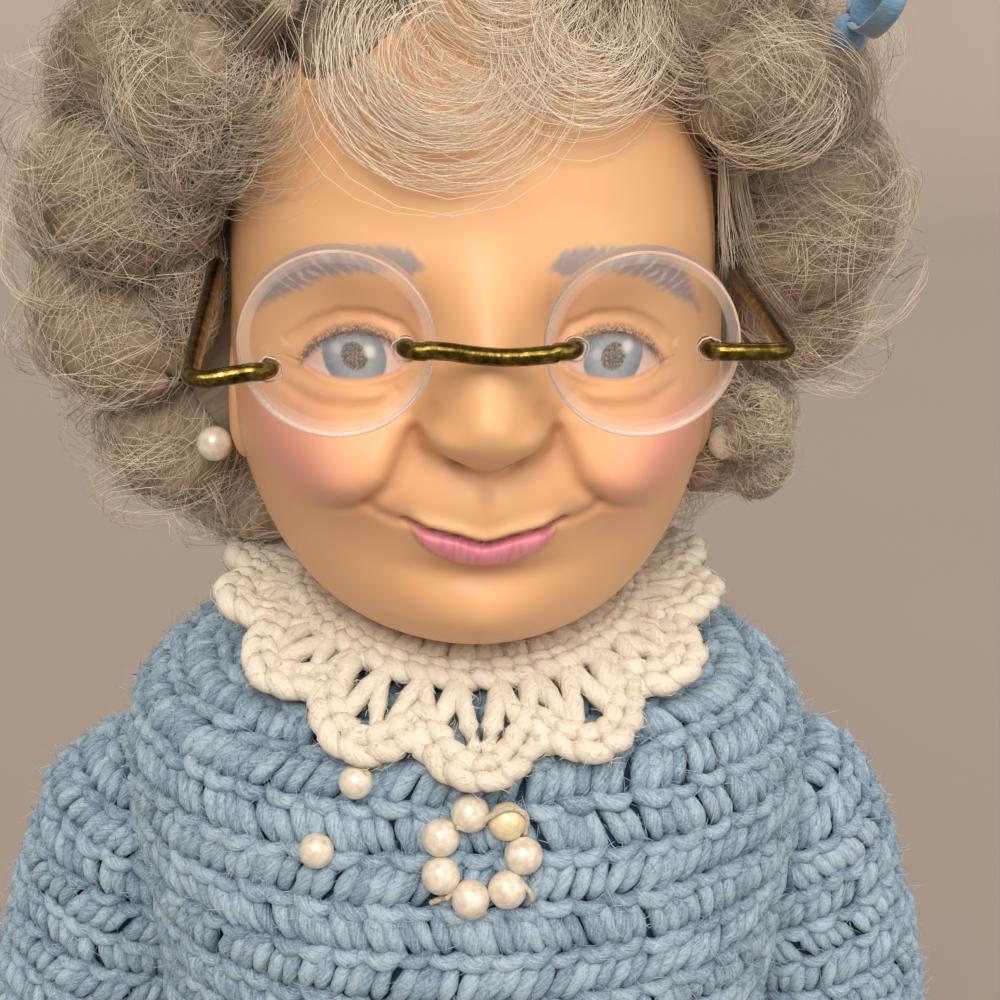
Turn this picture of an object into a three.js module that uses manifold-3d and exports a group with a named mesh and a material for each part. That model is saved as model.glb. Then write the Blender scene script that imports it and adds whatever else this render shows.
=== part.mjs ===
// A grandmother doll: a vinyl head with curled hair and wire spectacles on a crocheted, stuffed body
// whose cover is its blue dress. Millimetres, +Z up. The doll stands on Z = 0 and faces -Y, and its own
// left side is +X.
import * as THREE from "three";
import { mergeVertices } from "three/addons/utils/BufferGeometryUtils.js";
import Module from "manifold-3d";

const wasm = await Module();
wasm.setup();

// Driving dimensions: gaps and cloth
const CLEARANCE = 0.3; // between pieces that lie against each other
const WALL = 4; // thickness of the crocheted cloth
const FACET = 0.08; // how far a facet may lie off its surface
const SOFT_FACET = 0.35; // the same for hair

// Driving dimensions: dress and body
const SKIRT_HEIGHT = 148;
const HEM_RADIUS = 84;
const FLUTE_COUNT = 12;
const FLUTE_DEPTH = 3;
const WAIST_HALF_WIDTH = 46;
const WAIST_HALF_DEPTH = 41;
const BODICE_HEIGHT = 108;
const BUST_RISE = 57; // above the waist seam
const BUST_HALF_WIDTH = 51;
const BUST_HALF_DEPTH = 50;
const SHOULDER_RISE = 92;
const SHOULDER_HALF_WIDTH = 53;
const SHOULDER_HALF_DEPTH = 42.5;
const YOKE_DROP = 4.5; // from the neck rim to the yoke's upper slope
const YOKE_HALF_WIDTH = 35;
const YOKE_HALF_DEPTH = 30;
const NECK_RIM = 5; // depth of the drawn-in rim round the neck
const INSERT_THICKNESS = 2;

// Driving dimensions: arms
const SHOULDER_X = 54;
const SHOULDER_Y = 4;
const SHOULDER_DROP = 43; // from the neck rim down to the sewn shoulder
const SHOULDER_RADIUS = 18;
const ARMHOLE_GAP = 0.8; // round the sleeve's top, so that it turns freely
const CUFF_RADIUS = 14;
const SLEEVE_LENGTH = 86;
const SLEEVE_SPLAY = 22; // degrees from upright at the shoulder
const CUFF_SPLAY = -2; // degrees from upright at the cuff
const HAND_LENGTH = 33;
const HAND_HALF_WIDTH = 9.5;
const HAND_HALF_THICKNESS = 5;
const WRIST_RADIUS = 6.5;
const WRIST_PLUG = 7;

// Driving dimensions: head
const CHIN_RISE = 4.1; // from the neck rim up to the chin
const HEAD_HEIGHT = 106;
const HEAD_HALF_WIDTH = 37;
const FACE_DEPTH = 44.7; // from the neck axis to the plain of the face
const HEAD_BACK = 42;
const JAW_HEIGHT = 53.5; // from the chin to the widest level
const VINYL = 3;
const NECK_RADIUS = 13;
const FLANGE_RADIUS = 17.5;
const FLANGE_THICKNESS = 3;
const EYE_SPREAD = 17.4;
const EYE_HEIGHT = 51.5; // above the chin, as the other face heights
const NOSE_HEIGHT = 44;
const NOSE_LENGTH = 13.5;
const MOUTH_HEIGHT = 26.8;
const CHEEK_HEIGHT = 35;
const CHEEK_SPREAD = 21;
const CHIN_HEIGHT = 11.5; // middle of the chin's button
const EAR_HEIGHT = 34.4;
const EAR_HALF_HEIGHT = 10.5;
const LOBE_RISE = 2.3; // from the ear's lower tip up to the earring

// Driving dimensions: hair
const HAIR_HALF_WIDTH = 71;
const HAIR_FRONT = 46;
const HAIR_BACK = 60;
const HAIR_TOP = 23.5; // above the crown
const HAIR_BOTTOM = 10.5; // above the chin
const CURL_RADIUS = 17;
const FRINGE_RADIUS = 11.5;
const FRINGE_HEIGHT = 74.5; // lower edge of the fringe above the chin

// Driving dimensions: spectacles
const LENS_RADIUS = 12.5;
const LENS_THICKNESS = 2;
const LENS_SPREAD = 19.6;
const LENS_HEIGHT = 55.9; // above the chin
const LENS_FRONT = 54; // from the neck axis to the lens faces
const LENS_DOME = 0.5;
const WIRE_RADIUS = 0.9;
const BRIDGE_SPREAD = 10.9;
const HINGE_SPREAD = 28.1;
const SPECTACLE_HALF_WIDTH = 38.3;
const TEMPLE_LENGTH = 46;
const BRIDGE_SAG = 1;

// Driving dimensions: pearls, lace and ribbon
const PEARL_RADIUS = 2.6;
const EARRING_RADIUS = 2.75;
const PEARL_BORE = 0.75;
const THREAD_RADIUS = 0.4;
const BROOCH_PEARLS = 7;
const BROOCH_DROP = 20.3; // from the neck rim
const COLLAR_SCALLOPS = 14;
const COLLAR_SIDE = 40;
const COLLAR_FRONT = 46;
const COLLAR_THICKNESS = 2.6;
const SCALLOP_DEPTH = 3.4;
const LACE_HOLE = 1.9;
const TIE_RADIUS = 0.9;
const COLLAR_STAND = 6; // how far the lace stands above the neck rim at the sides
const COLLAR_FALL = 9.5; // how far it falls below the rim in front
const RIBBON_WIDTH = 3.2;
const RIBBON_THICKNESS = 0.6;
const RIBBON_LOOP = 13;
const RIBBON_TURN = 66; // degrees from the front towards the left side
const RIBBON_RISE = 30;
const BOW_RISE = 66; // degrees above level that the bow stands up from its knot
const KNOT_RADIUS = 2.8;

// Levels that several pieces share
const NECK_Z = SKIRT_HEIGHT + BODICE_HEIGHT;
const CHIN_Z = NECK_Z + CHIN_RISE;
const SHOULDER_Z = NECK_Z - SHOULDER_DROP;
const LENS_Z = CHIN_Z + LENS_HEIGHT;

// Materials
const finish = (color, roughness, metalness = 0) =>
  new THREE.MeshStandardMaterial({ color, roughness, metalness });
const vinyl = finish(0xe6b583, 0.42);
const blueYarn = finish(0x8fb3d3, 0.95);
const whiteYarn = finish(0xeee3d0, 0.95);
const hairFibre = finish(0xa89a8a, 0.6);
const fibrefill = finish(0xf4f2ee, 1);
const board = finish(0xc9b48c, 0.9);
const clearPlastic = finish(0xeaf0f0, 0.05);
const brassWire = finish(0x8a6a1e, 0.25, 1);
const pearl = finish(0xf1e6d8, 0.2);
const yellowPearl = finish(0xe6cf94, 0.2);
const thread = finish(0xf3ecd9, 0.7);
const satin = finish(0x7fb0cc, 0.35);

// Solids and geometries
function solidOf(geometry) {
  const bare = geometry.clone();
  bare.deleteAttribute("normal");
  bare.deleteAttribute("uv");
  const merged = mergeVertices(bare, 1e-4);
  return new wasm.Manifold(
    new wasm.Mesh({
      numProp: 3,
      vertProperties: Float32Array.from(merged.attributes.position.array),
      triVerts: Uint32Array.from(merged.index.array),
    }),
  );
}

// The largest of the bodies that a cut leaves
function mainBody(solid) {
  return solid.decompose().reduce((most, body) => (body.volume() > most.volume() ? body : most));
}

function geometryOf(solid, facet = FACET) {
  const mesh = mainBody(solid.simplify(facet)).getMesh();
  const geometry = new THREE.BufferGeometry();
  geometry.setAttribute("position", new THREE.BufferAttribute(mesh.vertProperties, 3));
  geometry.setIndex(new THREE.BufferAttribute(mesh.triVerts, 1));
  geometry.computeVertexNormals();
  return geometry;
}

function joined(solids) {
  return solids.reduce((sum, solid) => sum.add(solid));
}

// The skin through rings of points. A ring of one point is a pole; looped, the last ring meets the first.
function skin(rings, looped = false) {
  const points = [];
  const starts = [];
  for (const ring of rings) {
    starts.push(points.length);
    points.push(...ring);
  }
  const index = [];
  const bands = looped ? rings.length : rings.length - 1;
  for (let i = 0; i < bands; i += 1) {
    const next = (i + 1) % rings.length;
    const around = Math.max(rings[i].length, rings[next].length);
    const at = (k, j) => starts[k] + (j % rings[k].length);
    for (let j = 0; j < around; j += 1) {
      if (rings[next].length > 1) index.push(at(i, j), at(next, j), at(next, j + 1));
      if (rings[i].length > 1) index.push(at(i, j), at(next, j + 1), at(i, j + 1));
    }
  }
  const geometry = new THREE.BufferGeometry().setFromPoints(points);
  geometry.setIndex(index);
  if (signedVolume(geometry) < 0) geometry.setIndex(index.reverse());
  geometry.computeVertexNormals();
  return geometry;
}

function signedVolume(geometry) {
  const at = geometry.attributes.position;
  const corner = [new THREE.Vector3(), new THREE.Vector3(), new THREE.Vector3()];
  let sum = 0;
  for (let i = 0; i < geometry.index.count; i += 3) {
    corner.forEach((v, k) => v.fromBufferAttribute(at, geometry.index.getX(i + k)));
    sum += corner[0].dot(corner[1].clone().cross(corner[2]));
  }
  return sum / 6;
}

// A level ring: a superellipse of the given half width and half depth.
function ring(halfWidth, halfDepth, z, count, squareness = 2.3) {
  return Array.from({ length: count }, (_, j) => {
    const angle = (2 * Math.PI * j) / count;
    const c = Math.cos(angle);
    const s = Math.sin(angle);
    const reach = (Math.abs(c) ** squareness + Math.abs(s) ** squareness) ** (-1 / squareness);
    return new THREE.Vector3(halfWidth * reach * c, halfDepth * reach * s, z);
  });
}

// A turned piece standing on Z, from [radius, height] pairs that run up its outside
function turned(profile, segments) {
  const points = profile.map(([radius, height]) => new THREE.Vector2(radius, height));
  const lathe = new THREE.LatheGeometry(points, segments).rotateX(Math.PI / 2);
  return geometryOf(solidOf(lathe));
}

// A round rod along a curve
function rod(curve, radius, steps, sides) {
  const section = new THREE.Shape();
  for (let k = 0; k < sides; k += 1) {
    const angle = (2 * Math.PI * k) / sides;
    const corner = [radius * Math.cos(angle), radius * Math.sin(angle)];
    if (k) section.lineTo(...corner);
    else section.moveTo(...corner);
  }
  section.closePath();
  return new THREE.ExtrudeGeometry(section, { steps, bevelEnabled: false, extrudePath: curve });
}

function ball(radius, detail, centre, stretch = [1, 1, 1]) {
  return new THREE.IcosahedronGeometry(radius, detail).scale(...stretch).translate(...centre);
}

const doll = new THREE.Group();

function piece(name, geometry, material, parent = doll) {
  const mesh = new THREE.Mesh(geometry, material);
  mesh.name = name;
  parent.add(mesh);
  return mesh;
}

// Skirt: a fluted bell with a flat hem
const AROUND = 48;

function skirtHalves(z) {
  const share = 1 - z / SKIRT_HEIGHT;
  const flare = share ** 1.15;
  return [
    THREE.MathUtils.lerp(WAIST_HALF_WIDTH, HEM_RADIUS, flare),
    THREE.MathUtils.lerp(WAIST_HALF_DEPTH, HEM_RADIUS, flare),
    FLUTE_DEPTH * share ** 2,
  ];
}

function skirtRing(z, inset) {
  const [halfWidth, halfDepth, flute] = skirtHalves(z);
  return ring(halfWidth - inset, halfDepth - inset, z, AROUND, 2.1).map((p) => {
    const wave = flute * Math.cos(FLUTE_COUNT * Math.atan2(p.y, p.x));
    const reach = Math.hypot(p.x, p.y);
    return new THREE.Vector3(p.x * (1 + wave / reach), p.y * (1 + wave / reach), z);
  });
}

const skirtLevels = [1, 0.8, 0.56, 0.32, 0.12, 0].map((share) => share * SKIRT_HEIGHT);
const skirtOutside = skirtLevels.map((z) => skirtRing(z, 0));
const skirtInside = [...skirtLevels].reverse().map((z) => skirtRing(z, WALL));
piece("skirt", skin([...skirtOutside, ...skirtInside], true), blueYarn);

// Base: a crocheted disc that closes the skirt, under a stiff board
function roomInSkirt(z) {
  const [halfWidth, halfDepth, flute] = skirtHalves(z);
  return Math.min(halfWidth, halfDepth) - flute - WALL - CLEARANCE;
}

const diskEdge = [0, WALL].map((z) => skirtRing(z, WALL + CLEARANCE));
const diskPoles = [0, WALL].map((z) => [new THREE.Vector3(0, 0, z)]);
piece("base_disc", skin([diskPoles[0], ...diskEdge, diskPoles[1]]), blueYarn);
const insertBottom = WALL + CLEARANCE;
const insertTop = insertBottom + INSERT_THICKNESS;
const boardRadius = roomInSkirt(insertTop);
const insertProfile = [
  [0, insertBottom],
  [boardRadius, insertBottom],
  [boardRadius, insertTop],
  [0, insertTop],
];
piece("base_board", turned(insertProfile, 32), board);

// Arms: a curved sleeve, round at the sewn shoulder
const splay = THREE.MathUtils.degToRad(SLEEVE_SPLAY);
const bend = (splay - THREE.MathUtils.degToRad(CUFF_SPLAY)) / SLEEVE_LENGTH;

// Where the left arm's axis is at a length along it, and which way it runs
function armAxis(along) {
  const angle = splay - bend * along;
  return {
    point: new THREE.Vector3(
      SHOULDER_X + (Math.cos(angle) - Math.cos(splay)) / bend,
      SHOULDER_Y,
      SHOULDER_Z - (Math.sin(splay) - Math.sin(angle)) / bend,
    ),
    way: new THREE.Vector3(Math.sin(angle), 0, -Math.cos(angle)),
  };
}

function sleeveRadius(along) {
  const share = along / SLEEVE_LENGTH;
  const puff = 0.8 * Math.sin(Math.PI * share);
  return THREE.MathUtils.lerp(SHOULDER_RADIUS, CUFF_RADIUS, share) + puff;
}

// Rings of the left arm from its round top to a length along it, all moved in by inset
function armRings(inset, upTo, count) {
  const { point, way } = armAxis(0);
  const out = new THREE.Vector3(0, 1, 0);
  const top = SHOULDER_RADIUS - inset;
  const circle = (centre, run, radius) => {
    const side = new THREE.Vector3().crossVectors(run, out);
    return Array.from({ length: count }, (_, j) => {
      const angle = (2 * Math.PI * j) / count;
      const corner = centre.clone().addScaledVector(side, radius * Math.cos(angle));
      return corner.addScaledVector(out, radius * Math.sin(angle));
    });
  };
  const rings = [[point.clone().addScaledVector(way, -top)]];
  for (const polar of [0.35, 0.7]) {
    const angle = (polar * Math.PI) / 2;
    const centre = point.clone().addScaledVector(way, -top * Math.cos(angle));
    rings.push(circle(centre, way, top * Math.sin(angle)));
  }
  for (let k = 0; k <= 5; k += 1) {
    const along = (k / 5) * upTo;
    const at = armAxis(along);
    rings.push(circle(at.point, at.way, sleeveRadius(along) - inset));
  }
  return rings;
}

const ARM_SIDES = 16;
const stuffingEnd = SLEEVE_LENGTH - WRIST_PLUG - 2 * CLEARANCE;
const sleeveInside = armRings(WALL, SLEEVE_LENGTH, ARM_SIDES).reverse();
const sleeveShell = skin([...armRings(0, SLEEVE_LENGTH, ARM_SIDES), ...sleeveInside]);

function closedArm(inset, upTo) {
  return skin([...armRings(inset, upTo, ARM_SIDES), [armAxis(upTo).point]]);
}

// Hand: a mitten palm with fingers and a thumb, on a wrist plug that the cuff holds
function handSolid() {
  const plug = CUFF_RADIUS - WALL - CLEARANCE;
  const knuckles = -HAND_LENGTH * 0.58;
  const palmCentre = -HAND_LENGTH * 0.36;
  const stemProfile = [
    [0, palmCentre],
    [WRIST_RADIUS, palmCentre],
    [WRIST_RADIUS, 0],
    [plug, 0],
    [plug, WRIST_PLUG],
    [0, WRIST_PLUG],
  ];
  const stem = turned(stemProfile, 14);
  const palmStretch = [HAND_HALF_THICKNESS, HAND_HALF_WIDTH, HAND_LENGTH * 0.32];
  const solids = [solidOf(stem), solidOf(ball(1, 1, [0, 0, palmCentre], palmStretch))];
  const fingerRadius = HAND_HALF_WIDTH / 3.7;
  for (let k = 0; k < 4; k += 1) {
    const across = HAND_HALF_WIDTH * (k - 1.5) * 0.49;
    const reach = HAND_LENGTH - Math.abs(k - 1.3) * 1.8;
    const halfLength = (reach + knuckles) / 2 + fingerRadius;
    const centre = [-0.12 * halfLength, across, -reach + halfLength];
    solids.push(solidOf(ball(1, 1, centre, [fingerRadius, fingerRadius, halfLength])));
  }
  const thumb = new THREE.IcosahedronGeometry(1, 1).scale(fingerRadius, fingerRadius, HAND_LENGTH * 0.24);
  thumb.rotateX(0.55).translate(-HAND_HALF_THICKNESS * 0.4, -HAND_HALF_WIDTH * 0.85, palmCentre);
  solids.push(solidOf(thumb));
  return joined(solids);
}

// The copy of a solid's geometry on one side: 1 is the doll's left, -1 its right
function sided(geometry, side) {
  if (side > 0) return geometry.clone();
  const mirrored = geometry.clone().scale(-1, 1, 1);
  mirrored.setIndex(Array.from(geometry.index.array).reverse());
  mirrored.computeVertexNormals();
  return mirrored;
}

const sides = [["left", 1], ["right", -1]];
const cuff = armAxis(SLEEVE_LENGTH);
const wrist = geometryOf(handSolid());
wrist.rotateY(-Math.atan2(cuff.way.x, -cuff.way.z)).translate(...cuff.point.toArray());
const armStuffing = closedArm(WALL + CLEARANCE, stuffingEnd);
for (const [name, side] of sides) {
  piece(`${name}_sleeve`, sided(sleeveShell, side), blueYarn);
  piece(`${name}_arm_stuffing`, sided(armStuffing, side), fibrefill);
  piece(`${name}_hand`, sided(wrist, side), vinyl);
}

// Bodice: a round-shouldered shell with hollows that the sleeves sit in
const BODICE_AROUND = 32;
const neckHole = NECK_RADIUS + CLEARANCE;
const waistZ = SKIRT_HEIGHT + CLEARANCE;
const stations = [
  [neckHole + 1.5, neckHole + 1.5, NECK_Z],
  [YOKE_HALF_WIDTH, YOKE_HALF_DEPTH, NECK_Z - YOKE_DROP],
  [SHOULDER_HALF_WIDTH, SHOULDER_HALF_DEPTH, SKIRT_HEIGHT + SHOULDER_RISE],
  [BUST_HALF_WIDTH, BUST_HALF_DEPTH, SKIRT_HEIGHT + BUST_RISE],
  [WAIST_HALF_WIDTH, WAIST_HALF_DEPTH, waistZ],
];
const bodiceCurve = new THREE.CatmullRomCurve3(stations.map((s) => new THREE.Vector3(...s)));
const bodiceOutside = bodiceCurve.getSpacedPoints(10).map((p) => ring(p.x, p.y, p.z, BODICE_AROUND));

// The hollow of the bodice, narrowed between the shoulders so that cloth is left behind each sleeve
const rimZ = NECK_Z - NECK_RIM;
const besideArm = SHOULDER_X - SHOULDER_RADIUS - CLEARANCE - WALL;
const hollow = [
  [FLANGE_RADIUS + 2, FLANGE_RADIUS + 2, rimZ],
  [besideArm, SHOULDER_HALF_DEPTH - 2 * WALL, SHOULDER_Z + SHOULDER_RADIUS],
  [besideArm, BUST_HALF_DEPTH - WALL, SHOULDER_Z - SHOULDER_RADIUS / 2],
  [WAIST_HALF_WIDTH - WALL, WAIST_HALF_DEPTH - WALL, waistZ],
];

function hollowRings(inset) {
  return hollow.map(([halfWidth, halfDepth, z]) =>
    ring(halfWidth - inset, halfDepth - inset, z, BODICE_AROUND),
  );
}

const rim = [rimZ, NECK_Z].map((z) => ring(neckHole, neckHole, z, BODICE_AROUND, 2));
const bodiceShell = solidOf(skin([...bodiceOutside, ...hollowRings(0).reverse(), ...rim], true));

// Room for a sleeve as it hangs, and for its round top to turn in
function sleeveRoom(side) {
  const hanging = sided(closedArm(-CLEARANCE, SLEEVE_LENGTH), side);
  const socket = ball(SHOULDER_RADIUS + ARMHOLE_GAP, 3, [side * SHOULDER_X, SHOULDER_Y, SHOULDER_Z]);
  return solidOf(hanging).add(solidOf(socket));
}

const bodice = bodiceShell.subtract(sleeveRoom(1)).subtract(sleeveRoom(-1));
piece("bodice", geometryOf(bodice), blueYarn);

// Stuffing of the body, from the base board to under the head's flange
const flangeTop = rimZ - CLEARANCE;
const flangeBottom = flangeTop - FLANGE_THICKNESS;
const stuffingTop = flangeBottom - CLEARANCE;
const stuffingLevels = [insertTop + CLEARANCE, ...skirtLevels.filter((z) => z > insertTop + WALL).reverse()];
const stuffingRings = stuffingLevels.map((z) => {
  const [halfWidth, halfDepth, flute] = skirtHalves(z);
  const inset = flute + WALL + 2 * CLEARANCE;
  return ring(halfWidth - inset, halfDepth - inset, z, BODICE_AROUND, 2.1);
});
const bodyRings = hollowRings(CLEARANCE + 0.5).slice(1).reverse();
const stuffingTopRing = ring(FLANGE_RADIUS, FLANGE_RADIUS, stuffingTop, BODICE_AROUND);
const floorPole = [new THREE.Vector3(0, 0, stuffingLevels[0])];
const topPole = [new THREE.Vector3(0, 0, stuffingTop)];
const stuffingSkin = skin([floorPole, ...stuffingRings, ...bodyRings, stuffingTopRing, topPole]);
piece("body_stuffing", stuffingSkin, fibrefill);

// Head: a full-jawed shell with a modelled face, open at the neck
const HEAD_AROUND = 36;
const headMiddle = CHIN_Z + JAW_HEIGHT;
const crownRise = HEAD_HEIGHT - JAW_HEIGHT;

// Swellings and hollows of the face: place across, height above the chin, depth outwards, and spreads
const features = [
  [0, NOSE_HEIGHT, NOSE_LENGTH, 5, 4.8],
  [0, NOSE_HEIGHT + 9, NOSE_LENGTH * 0.55, 4.2, 7],
  [5.8, NOSE_HEIGHT - 2.2, 5, 2.9, 2.9],
  [EYE_SPREAD, EYE_HEIGHT, -2.6, 8, 5.5],
  [EYE_SPREAD, EYE_HEIGHT, 2, 6, 3.4],
  [EYE_SPREAD, EYE_HEIGHT + 12, 1.2, 9, 3.5],
  [CHEEK_SPREAD, CHEEK_HEIGHT, 6.5, 9.5, 8.5],
  [0, MOUTH_HEIGHT + 2, 4.6, 12, 7],
  [0, MOUTH_HEIGHT + 1.6, 1.6, 8, 1.5],
  [0, MOUTH_HEIGHT - 2.6, 2, 6, 1.9],
  [0, CHIN_HEIGHT, 4.5, 10, 6.5],
].flatMap(([x, ...rest]) => (x ? [[x, ...rest], [-x, ...rest]] : [[x, ...rest]]));

function faceDepth(x, height) {
  return features.reduce(
    (sum, [fx, fz, depth, wide, tall]) =>
      sum + depth * Math.exp(-(((x - fx) / wide) ** 2) - ((height - fz) / tall) ** 2),
    0,
  );
}

// A ring of the head at a polar angle from the crown, grown outwards, with or without the face
function headRing(polar, grow, faced) {
  const level = Math.cos(polar);
  const height = (level < 0 ? JAW_HEIGHT : crownRise) + grow;
  return Array.from({ length: HEAD_AROUND }, (_, j) => {
    const angle = (2 * Math.PI * j) / HEAD_AROUND;
    const c = Math.cos(angle) * Math.sin(polar);
    const s = Math.sin(angle) * Math.sin(polar);
    const depth = (s < 0 ? FACE_DEPTH : HEAD_BACK) + grow;
    const forward = Math.max(0, -Math.sin(angle)) ** 2;
    const squareness = level < 0 ? 3 + forward : 2.15;
    const reach =
      (Math.hypot(c, s) ** squareness + Math.abs(level) ** squareness) ** (-1 / squareness);
    const halfWidth = HEAD_HALF_WIDTH + grow;
    const p = new THREE.Vector3(halfWidth * reach * c, depth * reach * s, height * reach * level);
    if (faced && p.y < 0) {
      const front = THREE.MathUtils.smoothstep(-p.y / FACE_DEPTH, 0.25, 0.6);
      p.y -= front * faceDepth(p.x, p.z + JAW_HEIGHT);
    }
    p.z += headMiddle;
    return p;
  });
}

const circleRing = (radius, z) => ring(radius, radius, z, HEAD_AROUND, 2);
const underJaw = Math.PI - Math.asin((NECK_RADIUS + 3) / FACE_DEPTH);

function headRings(grow, count, faced) {
  const rings = [[new THREE.Vector3(0, 0, headMiddle + crownRise + grow)]];
  for (let k = 1; k <= count; k += 1) rings.push(headRing((k / count) * underJaw, grow, faced));
  return rings;
}

const neckTop = CHIN_Z - 1;
const neckRings = [
  circleRing(NECK_RADIUS, neckTop),
  circleRing(NECK_RADIUS, flangeTop),
  circleRing(FLANGE_RADIUS, flangeTop),
  circleRing(FLANGE_RADIUS, flangeBottom),
  circleRing(NECK_RADIUS - VINYL, flangeBottom),
  circleRing(NECK_RADIUS - VINYL, neckTop + VINYL),
];
const cavity = headRings(-VINYL, 6, false).reverse();
const headShell = solidOf(skin([...headRings(0, 22, true), ...neckRings, ...cavity]));

// Ears at the sides, each bored for an earring post
const earZ = CHIN_Z + EAR_HEIGHT;
const lobeZ = earZ - EAR_HALF_HEIGHT + LOBE_RISE;
const EAR_Y = -6;
const EAR_OUT = 2.8;
const EAR_SINK = 1.8; // how far the ear's middle lies inside the head's widest line
const earX = HEAD_HALF_WIDTH - EAR_SINK;
const POST_RADIUS = 0.6;
const POST_LENGTH = 2.6;

function earSolid(side, grow) {
  const stretch = [EAR_OUT + grow, 5.5 + grow, EAR_HALF_HEIGHT + grow];
  return solidOf(ball(1, 2, [side * earX, EAR_Y, earZ], stretch));
}

const lobeOut = EAR_OUT * Math.sqrt(1 - (1 - LOBE_RISE / EAR_HALF_HEIGHT) ** 2);
const earringX = earX + lobeOut + CLEARANCE + EARRING_RADIUS;

function postBore(side) {
  const radius = POST_RADIUS + CLEARANCE;
  const length = POST_LENGTH + EARRING_RADIUS;
  const bore = turned([[0, 0], [radius, 0], [radius, length], [0, length]], 8);
  bore.rotateY((side * Math.PI) / 2).translate(side * (earringX - length - CLEARANCE), EAR_Y, lobeZ);
  return solidOf(bore);
}

const cavityFloor = [new THREE.Vector3(0, 0, CHIN_Z + VINYL)];
const cavitySolid = solidOf(skin([...headRings(-VINYL, 6, false), cavityFloor]));
const ears = joined(sides.map(([, side]) => earSolid(side, 0))).subtract(cavitySolid);
const bores = joined(sides.map(([, side]) => postBore(side)));
const head = new THREE.Group();
doll.add(head);
piece("head_shell", geometryOf(headShell.add(ears).subtract(bores)), vinyl, head);

// A pearl bead with a bore along Z
function bead(radius, bore) {
  const start = Math.asin(bore / radius);
  const profile = [];
  for (let k = 0; k <= 6; k += 1) {
    const polar = Math.PI - start - ((Math.PI - 2 * start) * k) / 6;
    profile.push([radius * Math.sin(polar), radius * Math.cos(polar)]);
  }
  return turned([...profile, profile[0]], 10);
}

for (const [name, side] of sides) {
  const post = turned([[0, 0], [POST_RADIUS, 0], [POST_RADIUS, POST_LENGTH + 1], [0, POST_LENGTH + 1]], 8);
  const drop = ball(EARRING_RADIUS, 2, [0, 0, POST_LENGTH + EARRING_RADIUS]);
  const earring = geometryOf(solidOf(post).add(solidOf(drop)));
  const rootX = earringX - POST_LENGTH - EARRING_RADIUS;
  earring.rotateY((side * Math.PI) / 2).translate(side * rootX, EAR_Y, lobeZ);
  piece(`${name}_earring`, earring, pearl, head);
}

// Hair: curls set in rows over a padded cap, parted into five wefts that are glued to the scalp
const hairTop = CHIN_Z + HEAD_HEIGHT + HAIR_TOP;
const hairBottom = CHIN_Z + HAIR_BOTTOM;
const hairMiddle = new THREE.Vector3(0, (HAIR_BACK - HAIR_FRONT) / 2, CHIN_Z + JAW_HEIGHT + 4);
const hairReach = new THREE.Vector3(HAIR_HALF_WIDTH, (HAIR_BACK + HAIR_FRONT) / 2, hairTop - hairMiddle.z);
const curlReach = hairReach.clone().subScalar(CURL_RADIUS);

// Rows of curls: degrees above the middle, degrees from the front where the row starts, curls on a side
const curlRows = [
  [68, 0, 2],
  [40, 0, 4],
  [9, 56, 4],
  [-33, 80, 3],
];

// The direction at a turn from the front towards the left and a rise above the level
function wayFrom(turn, rise) {
  return new THREE.Vector3(Math.sin(turn) * Math.cos(rise), -Math.cos(turn) * Math.cos(rise), Math.sin(rise));
}

function curlCentres() {
  const centres = [];
  for (const [rise, from, count] of curlRows) {
    for (let k = 0; k < count; k += 1) {
      const turn = THREE.MathUtils.degToRad(from + ((180 - from) * (k + 0.5)) / count);
      const lift = THREE.MathUtils.degToRad(rise);
      for (const [, side] of sides) {
        centres.push(wayFrom(side * turn, lift).multiply(curlReach).add(hairMiddle));
      }
    }
  }
  return centres;
}

const fringeZ = CHIN_Z + FRINGE_HEIGHT + FRINGE_RADIUS;
const fringeCentres = [[0.25, 0.86], [0.74, 0.7]].flatMap(([across, forward]) =>
  sides.map(([, side]) => [side * across * HEAD_HALF_WIDTH, -forward * FACE_DEPTH, fringeZ]),
);

// A block between two corners
function block(low, high) {
  const size = high.map((value, k) => value - low[k]);
  const middle = high.map((value, k) => (value + low[k]) / 2);
  return solidOf(new THREE.BoxGeometry(...size).translate(...middle));
}

const FAR = 200;
const faceSide = HEAD_HALF_WIDTH - 1;

// The opening of the hair round the face: an arch run back to the ears
function faceOpening() {
  const top = CHIN_Z + FRINGE_HEIGHT;
  const arch = new THREE.Shape();
  arch.moveTo(-faceSide, hairBottom - FAR);
  arch.lineTo(-faceSide, top - faceSide / 2);
  arch.bezierCurveTo(-faceSide, top, -faceSide / 2, top, 0, top);
  arch.bezierCurveTo(faceSide / 2, top, faceSide, top, faceSide, top - faceSide / 2);
  arch.lineTo(faceSide, hairBottom - FAR);
  const run = new THREE.ExtrudeGeometry(arch, { depth: FAR, bevelEnabled: false, curveSegments: 6 });
  return solidOf(run.rotateX(Math.PI / 2).translate(0, EAR_Y, 0));
}

const hairGap = CLEARANCE + SOFT_FACET + 0.15;
const headRoom = solidOf(skin([...headRings(hairGap, 13, false), [new THREE.Vector3(0, 0, CHIN_Z - 1)]]));
const earRoom = joined(sides.map(([, side]) => earSolid(side, CLEARANCE)));
const earringRoom = joined(
  sides.map(([, side]) => solidOf(ball(EARRING_RADIUS + 3 * CLEARANCE, 2, [side * earringX, EAR_Y, lobeZ]))),
);

// Clear channels in which the temple wires slide
const templeRoom = joined(
  sides.map(([, side]) => {
    const radius = WIRE_RADIUS + 2 * CLEARANCE;
    const channel = new THREE.CylinderGeometry(radius, radius, LENS_FRONT + TEMPLE_LENGTH, 10);
    return solidOf(channel.translate(side * SPECTACLE_HALF_WIDTH, 4 - LENS_FRONT, LENS_Z));
  }),
);

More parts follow.
